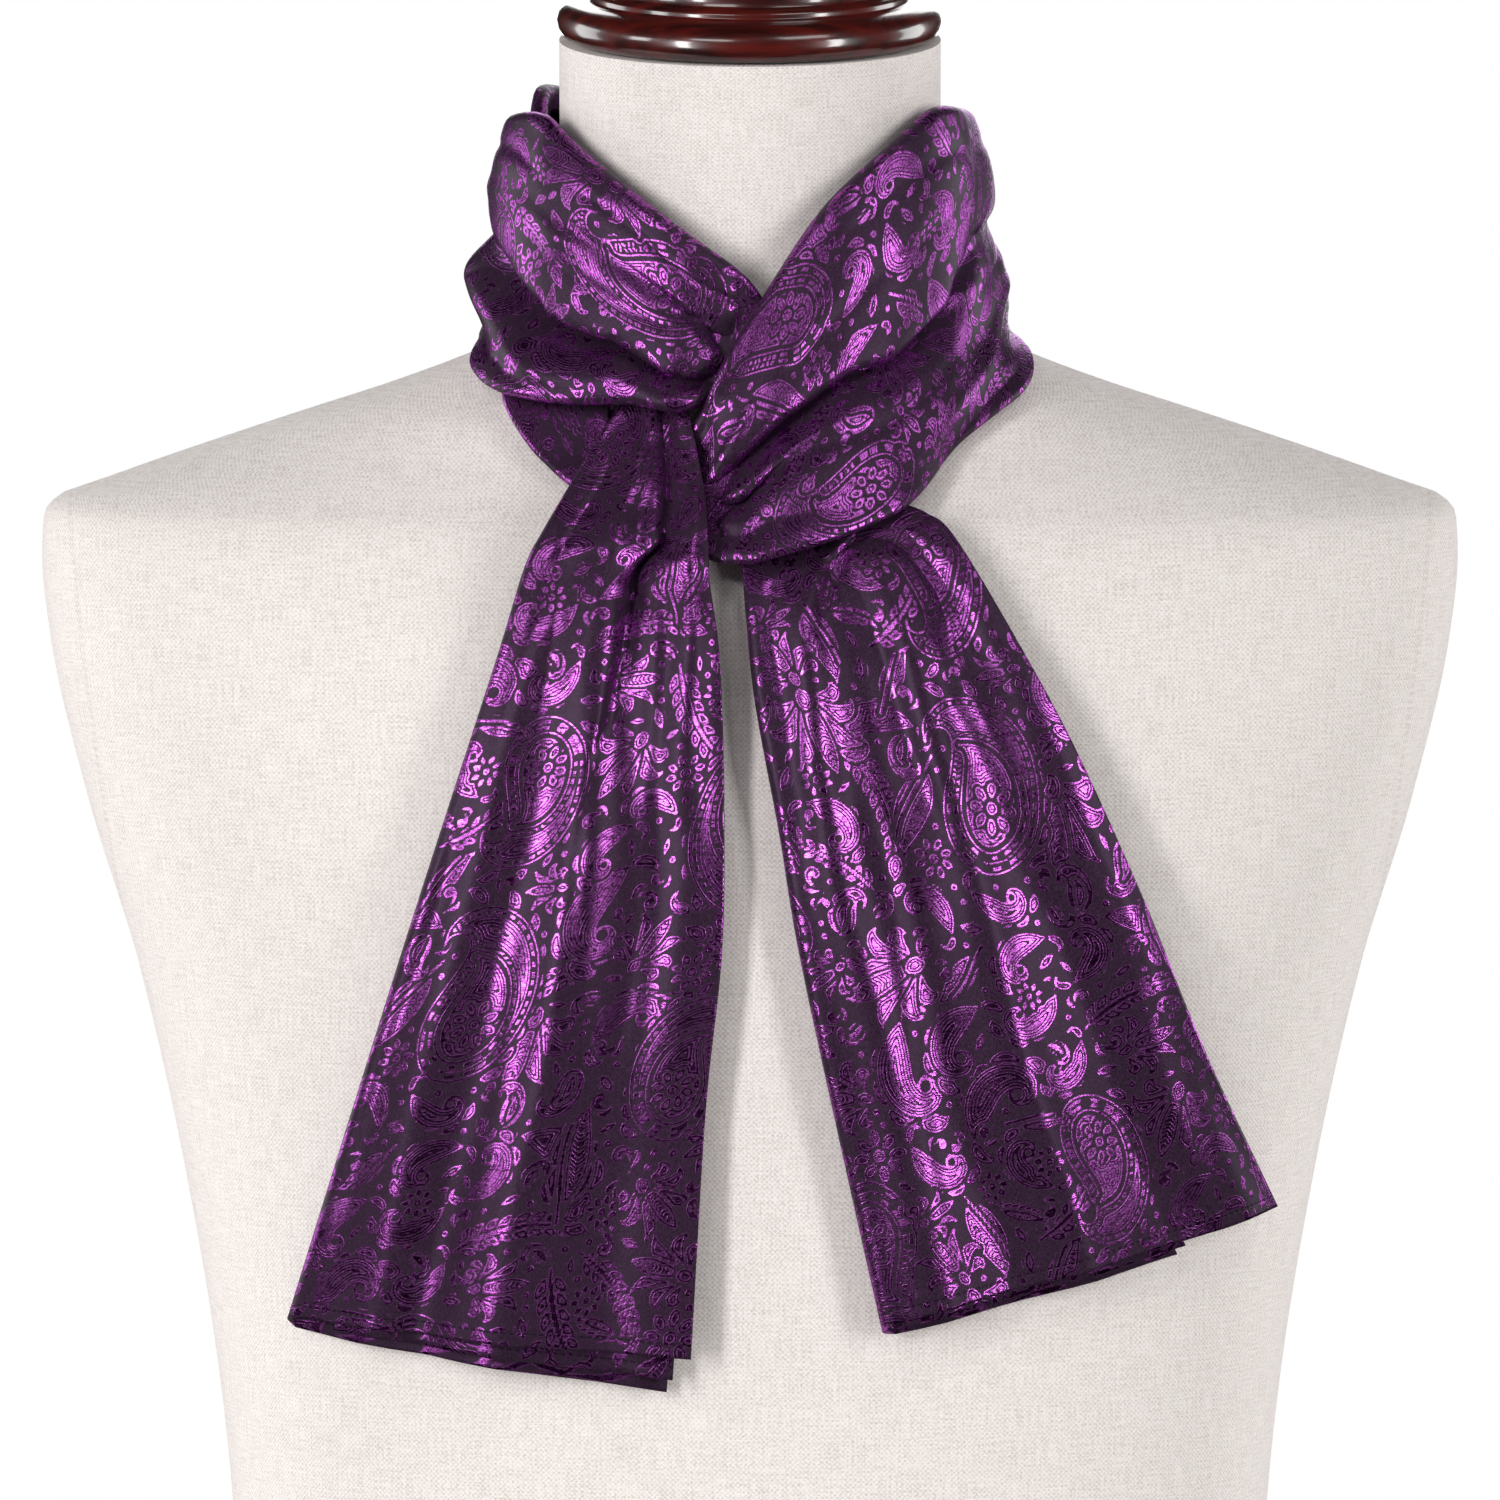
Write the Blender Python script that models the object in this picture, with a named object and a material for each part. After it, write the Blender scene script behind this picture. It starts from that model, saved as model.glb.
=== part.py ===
"""A long satin scarf looped round the neck of a limbless dress form.

Lengths are in millimetres until a mesh is made. X is the viewer's right, the front faces -Y, Z is up and
the form stands on z = 0. Each stretch of the scarf that shows is one closed cloth wall of its own.
"""
import math

import bmesh
import bpy
import numpy as np
from mathutils import Vector
from mathutils.bvhtree import BVHTree

METRES = 0.001
CLOTH = 1.2          # wall of a stretch: satin with its turned lining
CLEAR = 0.9          # least air between the cloth's wall and the form
LEAN = 8.0           # degrees that the neck's top plane dips to the front

# ---- the dress form: level slices, from the floor to the neck's top -------------------------------------
#   height  half_width  half_depth  centre_y  squareness
FORM_SLICES = [
    (0.0, 161.0, 106.0, 0.0, 2.4),
    (60.0, 165.0, 108.0, 0.0, 2.4),
    (130.0, 160.0, 104.0, 0.0, 2.4),
    (200.0, 164.0, 106.0, 0.0, 2.4),
    (240.0, 168.0, 110.0, 0.0, 2.4),
    (308.0, 179.0, 116.0, 0.0, 2.4),
    (371.0, 193.0, 119.0, 0.0, 2.4),
    (424.0, 209.0, 116.0, 0.0, 2.4),
    (475.0, 220.5, 106.0, 0.0, 2.5),
    (500.0, 223.0, 95.0, 1.0, 2.5),
    (512.0, 222.5, 88.0, 2.0, 2.4),
    (517.5, 218.5, 84.0, 3.0, 2.2),
    (522.5, 205.0, 81.0, 3.5, 2.1),
    (531.0, 181.0, 77.0, 4.5, 1.9),
    (544.0, 142.0, 73.5, 6.0, 1.75),
    (553.0, 114.0, 71.5, 7.0, 1.7),
    (561.0, 92.0, 70.0, 8.0, 1.75),
    (568.0, 76.0, 68.0, 8.5, 1.9),
    (576.0, 67.5, 66.0, 9.0, 2.0),
    (590.0, 62.0, 64.0, 8.5, 2.0),
    (610.0, 60.0, 63.0, 7.0, 2.0),
    (661.0, 60.0, 63.0, 2.0, 2.0),
]
NECK_TOP = 661.0
LEAN_START = 605.0
FORM_SEGMENTS = 56

# ---- the turned neck cap: radius and height above the neck's top ----------------------------------------
CAP_GAP = 0.3
CAP_DEPTH_RATIO = 1.05
CAP_PROFILE = [
    (55.0, 0.0), (58.6, 1.2), (60.6, 4.0), (60.8, 6.8), (59.2, 9.8), (55.8, 11.8), (50.5, 12.4),
    (49.6, 14.4), (47.6, 15.4), (46.2, 16.6), (45.8, 19.5), (44.6, 24.0), (40.0, 29.0), (30.0, 32.6),
    (16.0, 34.4),
]
CAP_SEGMENTS = 40

# ---- the collar's core: the smooth neck-and-shoulder shape that the loop is wound on --------------------
#   height  radius_x  radius_y
COLLAR_CORE = [
    (470.0, 110.0, 124.0),
    (500.0, 101.0, 109.0),
    (520.0, 93.0, 92.0),
    (540.0, 84.0, 80.5),
    (560.0, 75.0, 73.0),
    (580.0, 68.5, 68.0),
    (600.0, 64.5, 67.0),
    (620.0, 62.5, 66.5),
    (650.0, 61.5, 66.0),
]
CORE_Y = 8.0
CORE_BLEND = 3.0      # softens the step from the core's own shape to the form's

# ---- the two wound stretches: one row for each section along the cloth ----------------------------------
#   turn is in degrees from the front, to the viewer's right; off is how far the face lies out of the core
#   turn_top  top_z  top_off  turn_low  low_z  low_off  belly
COLLAR_RIGHT = [
    (-15.0, 537.0, 2.6, -13.5, 509.0, 1.6, 0.0),
    (-9.5, 547.0, 6.0, -6.0, 502.5, 3.0, 0.5),
    (-4.6, 563.5, 12.0, -1.0, 501.5, 7.5, 2.0),
    (4.1, 583.0, 9.0, 3.7, 503.5, 10.0, 5.0),
    (16.9, 606.0, 7.0, 16.6, 511.0, 10.0, 7.0),
    (30.5, 621.0, 7.0, 28.0, 520.0, 9.0, 8.0),
    (54.3, 638.0, 6.5, 41.0, 535.5, 8.0, 8.0),
    (76.0, 639.0, 7.0, 57.0, 548.5, 8.0, 8.0),
    (98.0, 638.0, 8.5, 84.0, 566.5, 6.0, 7.0),
    (125.0, 637.0, 10.0, 120.0, 571.5, 6.5, 5.0),
    (150.0, 637.0, 10.0, 148.0, 578.5, 8.5, 3.0),
    (174.0, 638.5, 9.5, 174.0, 592.5, 10.5, 1.0),
    (200.0, 640.5, 7.0, 200.0, 605.5, 7.5, 0.0),
    (226.0, 643.0, 5.8, 226.0, 612.0, 5.8, 0.0),
    (248.0, 646.0, 5.8, 248.0, 616.0, 5.8, 0.0),
    (264.0, 645.0, 5.8, 264.0, 616.0, 5.8, 0.0),
    (280.0, 635.0, 5.8, 280.0, 612.0, 5.8, 0.0),
]
COLLAR_LEFT = [
    (5.0, 576.0, 2.4, 0.5, 556.0, 2.4, 0.0),
    (-1.0, 587.0, 4.0, -6.0, 552.0, 3.6, 0.0),
    (-13.2, 598.4, 7.0, -14.0, 547.0, 12.0, 2.0),
    (-30.7, 613.3, 7.0, -24.0, 549.0, 12.5, 4.0),
    (-51.8, 628.6, 8.0, -37.0, 549.0, 11.0, 6.0),
    (-67.0, 637.0, 10.0, -52.0, 552.5, 9.5, 7.0),
    (-88.0, 637.0, 13.5, -78.0, 565.5, 10.0, 7.0),
    (-108.0, 634.5, 14.5, -104.0, 568.5, 10.0, 6.0),
    (-130.0, 627.0, 14.5, -130.0, 565.0, 11.0, 4.0),
    (-150.0, 615.0, 14.0, -150.0, 560.0, 12.0, 3.0),
    (-170.0, 595.0, 9.5, -170.0, 558.0, 11.0, 2.0),
    (-190.0, 588.5, 3.6, -190.0, 557.0, 6.0, 1.0),
    (-214.0, 587.0, 2.6, -216.0, 560.0, 4.0, 0.0),
    (-240.0, 588.0, 2.6, -244.0, 568.0, 3.0, 0.0),
    (-264.0, 592.0, 2.6, -268.0, 573.0, 2.6, 0.0),
    (-286.0, 590.0, 2.6, -286.0, 573.0, 2.6, 0.0),
]
COLLAR_UNDER = [
    (-70.0, 590.0, 3.8, -67.0, 566.0, 5.0, 0.0),
    (-62.0, 582.0, 3.8, -55.0, 552.0, 5.6, 0.0),
    (-54.0, 573.0, 4.0, -46.5, 540.0, 6.4, 0.0),
    (-43.0, 560.0, 4.0, -35.5, 524.5, 6.4, 0.0),
    (-31.0, 547.0, 4.0, -25.5, 514.5, 5.0, 0.0),
]

# ---- the tails: one row for each section down the cloth --------------------------------------------------
#   left_x  left_z  right_x  right_z  left_off  right_off  fold_radius
TAIL_LEFT = [
    (-38.0, 550.0, -20.0, 548.5, 7.5, 7.5, 1.6),
    (-45.0, 540.5, -17.2, 539.0, 9.0, 9.5, 1.6),
    (-52.7, 527.7, -14.1, 522.5, 13.0, 14.0, 1.8),
    (-62.5, 511.2, -12.8, 506.0, 14.0, 14.5, 2.0),
    (-68.2, 500.1, -12.5, 496.4, 12.0, 13.0, 2.3),
    (-76.0, 474.7, -9.1, 471.3, 9.8, 10.5, 2.4),
    (-91.7, 426.6, -7.9, 430.4, 8.4, 8.4, 2.5),
    (-105.6, 384.0, -8.5, 385.1, 8.4, 8.4, 2.5),
    (-122.6, 330.9, -13.4, 336.3, 8.4, 8.4, 2.6),
    (-142.5, 268.4, -18.0, 259.5, 9.4, 9.8, 3.0),
]
TAIL_RIGHT = [
    (-3.7, 517.0, 38.0, 522.0, 3.7, 3.7, 1.3),
    (-3.1, 508.0, 45.0, 519.0, 4.2, 3.8, 1.4),
    (-1.8, 498.5, 54.0, 515.5, 6.5, 5.0, 1.6),
    (-0.6, 484.0, 63.2, 507.7, 8.4, 8.2, 2.3),
    (2.1, 459.5, 84.2, 472.5, 8.4, 8.4, 2.5),
    (9.4, 420.5, 100.3, 442.0, 8.4, 8.4, 2.5),
    (15.5, 384.5, 119.7, 399.0, 8.4, 8.4, 2.5),
    (29.2, 321.4, 139.1, 351.4, 8.4, 8.4, 2.6),
    (40.8, 270.0, 163.1, 300.0, 9.4, 9.8, 3.0),
]
#   tail  back_reach  back_drop_left  back_drop_right  inner_start  inner_end  inner_drop_left  .._right
TAIL_PLIES = {
    "left": (0.94, 4.5, 12.0, 0.12, 0.955, 2.0, 7.5),
    "right": (0.74, 4.5, 4.5, 0.06, 0.76, 2.5, 2.0),
}
#   how far down the sections the back ply starts to widen, and the inner ply starts
BACK_WIDENS = (2.0, 5.0)
INNER_STARTS = 5.0

# ---- folds: each a trough (depth below zero) or a ridge, along a line across the sections ---------------
#   start_section  start_across  end_section  end_across  start_depth  end_depth  half_width
FOLDS = {
    "collar_right": [
        (1.0, 0.42, 3.2, 0.47, -2.0, -8.0, 0.13),
        (3.2, 0.47, 7.9, 0.42, -8.0, -8.0, 0.10),
        (3.0, 0.24, 6.5, 0.20, 2.0, 1.5, 0.16),
        (7.9, 0.42, 10.5, 0.62, -8.0, -1.5, 0.14),
        (10.0, 0.30, 15.0, 0.45, -1.5, -1.5, 0.12),
    ],
    "collar_left": [
        (0.8, 0.42, 2.9, 0.30, -3.0, -0.5, 0.12),
        (0.8, 0.72, 3.4, 0.70, -2.0, -7.0, 0.11),
        (3.4, 0.70, 6.2, 0.52, -7.0, -6.0, 0.13),
        (6.2, 0.52, 9.0, 0.40, -6.0, -1.0, 0.14),
        (4.4, 0.82, 5.2, 0.76, 1.5, 3.0, 0.12),
        (5.2, 0.74, 6.2, 0.68, 3.0, 6.5, 0.11),
        (6.2, 0.68, 9.0, 0.64, 6.5, 2.0, 0.13),
    ],
    "collar_under": [
        (0.0, 0.55, 4.0, 0.50, -1.5, -1.5, 0.2),
    ],
    "tail_left": [
        (-0.3, 0.55, 4.6, 0.58, -4.5, -4.0, 0.17),
        (4.6, 0.58, 6.3, 0.55, -4.0, 0.0, 0.17),
        (1.5, 0.86, 7.2, 0.80, 3.0, 0.5, 0.14),
        (2.5, 0.28, 9.3, 0.46, 3.0, 1.5, 0.16),
        (5.0, 0.10, 9.3, 0.14, 0.0, 2.0, 0.12),
    ],
    "tail_right": [
        (2.4, 0.60, 3.4, 0.34, 4.0, 2.0, 0.12),
        (2.6, 0.74, 3.8, 0.50, -2.0, -1.5, 0.10),
        (3.3, 0.28, 8.3, 0.22, 2.5, 2.0, 0.11),
        (3.0, 0.62, 8.3, 0.52, 2.5, 2.5, 0.11),
        (3.6, 0.86, 8.3, 0.80, 1.5, 2.5, 0.10),
    ],
}

# ---- how finely the walls are cut ------------------------------------------------------------------------
COLLAR_LENGTHS = {"collar_right": 37, "collar_left": 40, "collar_under": 9}    # cells along each stretch
COLLAR_CELLS = 10         # cells across a stretch's face
COLLAR_EDGE = 2.4         # radius of a stretch's turned edges
COLLAR_RETURN = 6.0       # how far the cloth runs on behind each turned edge
TAIL_STEPS = 2
TAIL_CELLS = 12
TURN_CELLS = 3            # cells round a turned edge
PRESS_CELLS = 16          # cells across, where one stretch is laid over another

FOLD_FADE = 0.45          # of a section, over which a fold fades past its ends
OUTWARD_PASSES = 6        # steps in which cloth is moved clear of the form
OUTWARD_MOST = 6.0        # the most that one such step moves it
UNDER_EDGE = 2.6          # radius of the low stretch's turned edges
EDGE_ROOM = 2.8           # least distance between the two plies at a turned edge
MIDDLE_RADIUS = 80.0      # of the loop, for lengths across its stretches
EDGE_SHARE = 0.03         # of a tail's width, taken by its fold
NARROW_BACK = 0.2         # of a tail's width, the back ply's reach at the top
BACK_MARGIN = 0.06        # of a tail's width, past the back ply's end, where it still counts
INNER_PLY = 0.47          # where the inner ply lies, from the front ply (0) to the back one (1)
THREE_PLIES = 2.1         # from one ply's middle to the next in a tail
CROSSING = 190.0          # turn at which the two wound stretches cross at the back
KNOT_TURN = 15.0          # turn within which the left stretch runs under the right one
EASE_TURN = 12.0          # degrees over which a lift fades
EASE_PASSES = 2
LAY_PASSES = 2
REACH = 60.0              # how far out a stretch looks for what it lies over
LAYER_AIR = 1.3           # between a stretch and what it is laid over

CREAM = (0.76, 0.71, 0.65, 1.0)
MAHOGANY = (0.12, 0.02, 0.015, 1.0)
PURPLE = (0.16, 0.05, 0.18, 1.0)


def smooth_columns(rows, keys):
    """Every column of a table, read at the keys along its first column with a curve that never overshoots."""
    rows = np.array(rows, dtype=float)
    x, y = rows[:, 0], rows[:, 1:]
    keys = np.clip(np.asarray(keys, dtype=float), x[0], x[-1])
    width = np.diff(x)
    slope = np.diff(y, axis=0) / width[:, None]
    tangent = np.zeros_like(y)
    tangent[0], tangent[-1] = slope[0], slope[-1]
    before, after = slope[:-1], slope[1:]
    agree = before * after > 0
    total = np.where(agree, before + after, 1.0)
    tangent[1:-1] = np.where(agree, 2.0 * before * after / total, 0.0)
    cell = np.clip(np.searchsorted(x, keys, side="right") - 1, 0, len(width) - 1)
    step = width[cell][..., None]
    t = ((keys - x[cell]) / width[cell])[..., None]
    return ((1 + 2 * t) * (1 - t) ** 2 * y[cell] + t * (1 - t) ** 2 * step * tangent[cell]
            + t * t * (3 - 2 * t) * y[cell + 1] + t * t * (t - 1) * step * tangent[cell + 1])


def along_sections(rows, station):
    """A table's rows read at any station between them (0 is the first row), through Catmull-Rom curves."""
    rows = np.array(rows, dtype=float)
    ends = np.vstack([2 * rows[0] - rows[1], rows, 2 * rows[-1] - rows[-2]])
    cell = np.clip(np.floor(station).astype(int), 0, len(rows) - 2)
    t = (station - cell)[..., None]
    a, b, c, d = ends[cell], ends[cell + 1], ends[cell + 2], ends[cell + 3]
    cubic = (2 * a - 5 * b + 4 * c - d) * t ** 2 + (3 * b - a - 3 * c + d) * t ** 3
    return 0.5 * (2 * b + (c - a) * t + cubic)


def relief(folds, station, across):
    """Height of the folds over the plain cloth, at each station along it and fraction across it: the highest
    ridge there and the deepest trough."""
    ridge = np.zeros(np.broadcast(station, across).shape)
    trough = ridge
    for start, start_across, end, end_across, start_depth, end_depth, half_width in folds:
        t = np.clip((station - start) / (end - start), 0.0, 1.0)
        beyond = np.maximum(start - station, station - end).clip(0.0)
        line = start_across + (end_across - start_across) * t
        depth = (start_depth + (end_depth - start_depth) * t) * np.exp(-(beyond / FOLD_FADE) ** 2)
        height = depth * np.exp(-((across - line) / half_width) ** 2)
        ridge = np.maximum(ridge, height)
        trough = np.minimum(trough, height)
    return ridge + trough


def form_level(points):
    """1 on the form's skin, less inside it and more outside, at an array of points."""
    half_width, half_depth, centre_y, square = np.moveaxis(smooth_columns(FORM_SLICES, points[..., 2]), -1, 0)
    wide = np.abs(points[..., 0]) / half_width
    deep = np.abs(points[..., 1] - centre_y) / half_depth
    return (wide ** square + deep ** square) ** (1.0 / square)


def clear_of_form(points, gap):
    """Points moved straight out of the form wherever they lie nearer to its skin than the gap."""
    nudge = CLOTH / 2
    for _ in range(OUTWARD_PASSES):
        level = form_level(points)
        gradient = np.stack([
            (form_level(points + nudge * axis) - form_level(points - nudge * axis)) / (2 * nudge)
            for axis in np.eye(3)], axis=-1)
        steepness = np.linalg.norm(gradient, axis=-1)
        short = np.clip(gap - (level - 1.0) / steepness, 0.0, OUTWARD_MOST)
        points = points + gradient / steepness[..., None] * short[..., None]
    return points


def core_point(turn, height, off):
    """The point at a turn (radians from the front), a height and a distance out from the collar's core, which
    is the wider of its own table and the form."""
    radius_x, radius_y = np.moveaxis(smooth_columns(COLLAR_CORE, height), -1, 0)
    half_width, half_depth, _, square = np.moveaxis(smooth_columns(FORM_SLICES, height), -1, 0)
    side, front = np.sin(turn), np.cos(turn)
    core = 1.0 / np.hypot(side / radius_x, front / radius_y)
    form = ((np.abs(side) / half_width) ** square + (np.abs(front) / half_depth) ** square) ** (-1.0 / square)
    wider = 0.5 * (core + form + np.hypot(form - core, CORE_BLEND))
    return np.stack([(wider + off) * side, CORE_Y - (wider + off) * front, height], axis=-1)


def form_front(x, z):
    """The form's front skin: its y at each x and z."""
    half_width, half_depth, centre_y, square = np.moveaxis(smooth_columns(FORM_SLICES, z), -1, 0)
    wide = np.clip(np.abs(x) / half_width, 0.0, 0.98)
    return centre_y - half_depth * (1.0 - wide ** square) ** (1.0 / square)


def lean(points):
    """Tips the neck's top towards the front, little by little above LEAN_START."""
    share = np.clip((points[..., 2] - LEAN_START) / (NECK_TOP - LEAN_START), 0.0, 1.0)
    leaned = points.copy()
    leaned[..., 2] += share * math.tan(math.radians(LEAN)) * (points[..., 1] - FORM_SLICES[-1][3])
    return leaned


def material(name, colour, roughness):
    made = bpy.data.materials.new(name)
    made.use_nodes = True
    shader = made.node_tree.nodes["Principled BSDF"]
    shader.inputs["Base Color"].default_value = colour
    shader.inputs["Roughness"].default_value = roughness
    return made


def add_solid(name, solid, finish):
    """One named object from a solid's points (in millimetres) and faces, its faces turned outward."""
    points, faces = solid
    mesh = bpy.data.meshes.new(name)
    mesh.from_pydata((points * METRES).tolist(), [], faces)
    mesh.materials.append(finish)
    turned = bmesh.new()
    turned.from_mesh(mesh)
    bmesh.ops.recalc_face_normals(turned, faces=turned.faces)
    turned.to_mesh(mesh)
    turned.free()
    bpy.context.collection.objects.link(bpy.data.objects.new(name, mesh))


def ring_stack(rings):
    """A closed solid through a stack of rings of equal length, flat at both ends: its points and faces."""
    count = rings.shape[1]
    faces = [tuple(range(count))[::-1], tuple(range((len(rings) - 1) * count, len(rings) * count))]
    for row in range(len(rings) - 1):
        for i in range(count):
            j = (i + 1) % count
            faces.append((row * count + i, row * count + j, (row + 1) * count + j, (row + 1) * count + i))
    return rings.reshape(-1, 3), faces


def wall_of(sheet):
    """A closed wall of cloth: the sheet's middle points moved half the cloth's thickness to each side."""
    along = np.gradient(sheet, axis=0)
    across = np.gradient(sheet, axis=1)
    normal = np.cross(along, across)
    normal /= np.linalg.norm(normal, axis=-1)[..., None]
    rows, columns = sheet.shape[:2]
    layer = rows * columns
    points = np.concatenate([sheet + normal * CLOTH / 2, sheet - normal * CLOTH / 2]).reshape(-1, 3)
    faces = []
    for i in range(rows - 1):
        for j in range(columns - 1):
            a = i * columns + j
            b, c, d = a + 1, a + columns + 1, a + columns
            faces.append((a, b, c, d))
            faces.append((a + layer, d + layer, c + layer, b + layer))
    rim = list(range(columns)) + [i * columns + columns - 1 for i in range(1, rows)]
    rim += [(rows - 1) * columns + j for j in range(columns - 2, -1, -1)]
    rim += [i * columns for i in range(rows - 2, 0, -1)]
    for a, b in zip(rim, rim[1:] + rim[:1]):
        faces.append((b, a, a + layer, b + layer))
    return points, faces


def turned_section(length, radius, back, cells):
    """Across one wound stretch: (way across, height) from behind its top edge, over the face, to behind its
    low edge. The cloth turns back with the given radius at both edges."""
    turn = np.linspace(0.0, math.pi, TURN_CELLS + 1)
    top = [(radius + back, -2 * radius)] + [
        (radius - radius * math.sin(a), -radius - radius * math.cos(a)) for a in turn]
    face = [(s, 0.0) for s in np.linspace(radius, length - radius, cells + 1)[1:-1]]
    low = [(length - across, height) for across, height in reversed(top)]
    return np.array(top + face + low)


class Wound:
    """A stretch wound round the neck: its sections, its folds and how far it is lifted by what it lies on."""

    def __init__(self, name, rows, radius):
        self.name, self.rows, self.radius = name, rows, radius
        self.folds = FOLDS[name]
        self.stations = np.linspace(0.0, len(rows) - 1.0, COLLAR_LENGTHS[name] + 1)
        self.grid = np.linspace(0.0, 1.0, PRESS_CELLS + 1)
        self.lift = np.zeros((len(self.stations), len(self.grid)))

    def point(self, station, across, height_over_face, lift):
        turn_top, top_z, top_off, turn_low, low_z, low_off, belly = np.moveaxis(
            along_sections(self.rows, station), -1, 0)
        turn = np.radians(turn_top + (turn_low - turn_top) * across)
        height = top_z + (low_z - top_z) * across
        face = (top_off + (low_off - top_off) * across + belly * 4 * across * (1 - across)
                + relief(self.folds, station, across) + lift)
        face = np.maximum(face, CLOTH / 2 + CLEAR + EDGE_ROOM)
        room = np.minimum((face - CLOTH / 2 - CLEAR) / (2 * self.radius), 1.0)
        return core_point(turn, height, face + height_over_face * room)

    def lay_over(self, walls, share):
        """Lifts the stretch wherever it would touch the walls; share (0 to 1) of each turn says where."""
        stations, across = np.meshgrid(self.stations, self.grid, indexing="ij")
        turn = along_sections(self.rows, self.stations)[:, 0]
        for _ in range(LAY_PASSES):
            under = self.point(stations, across, -2 * self.radius, self.lift)
            out = np.stack([under[..., 0], under[..., 1] - CORE_Y, np.zeros(under.shape[:-1])], axis=-1)
            out /= np.linalg.norm(out, axis=-1)[..., None]
            self.lift += spread(rise_over(under, out, walls)) * share(turn)[:, None]

    def sheet(self):
        sections = along_sections(self.rows, self.stations)
        sheet, gaps = [], []
        for station, section, lift in zip(self.stations, sections, self.lift):
            turn_top, top_z, top_off, turn_low, low_z, low_off, belly = section
            length = math.hypot(top_z - low_z, math.radians(turn_top - turn_low) * MIDDLE_RADIUS)
            path = turned_section(length, self.radius, COLLAR_RETURN, COLLAR_CELLS)
            across = path[:, 0] / length
            lifted = np.interp(across, self.grid, lift)
            sheet.append(self.point(np.full(across.shape, station), across, path[:, 1], lifted))
            gaps.append(CLOTH / 2 + CLEAR + EDGE_ROOM * (1 + path[:, 1] / (2 * self.radius)))
        return clear_of_form(np.array(sheet), np.array(gaps))


def rise_over(points, out, walls):
    """How far each point must move along its outward direction to pass clear over the walls."""
    trees = [BVHTree.FromPolygons(wall[0].tolist(), wall[1]) for wall in walls]
    rise = np.zeros(points.shape[:-1])
    for index in np.ndindex(rise.shape):
        point, direction = Vector(points[index]), Vector(out[index])
        for tree in trees:
            hit = tree.ray_cast(point + direction * REACH, -direction, REACH + LAYER_AIR + CLOTH / 2)
            if hit[0] is not None:
                rise[index] = max(rise[index], REACH - hit[3] + LAYER_AIR + CLOTH / 2)
    return rise


def spread(rise):
    """The same rise, widened by a cell each way and eased into its neighbours, never lower than it was."""
    eased = np.max(neighbours(rise), axis=0)
    for _ in range(EASE_PASSES):
        eased = np.maximum(np.mean(neighbours(eased), axis=0), rise)
    return eased


def neighbours(grid):
    """The grid shifted by one cell in each of the nine ways, its own place included."""
    padded = np.pad(grid, 1, mode="edge")
    rows, columns = grid.shape
    return [padded[i:i + rows, j:j + columns] for i in range(3) for j in range(3)]


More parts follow.
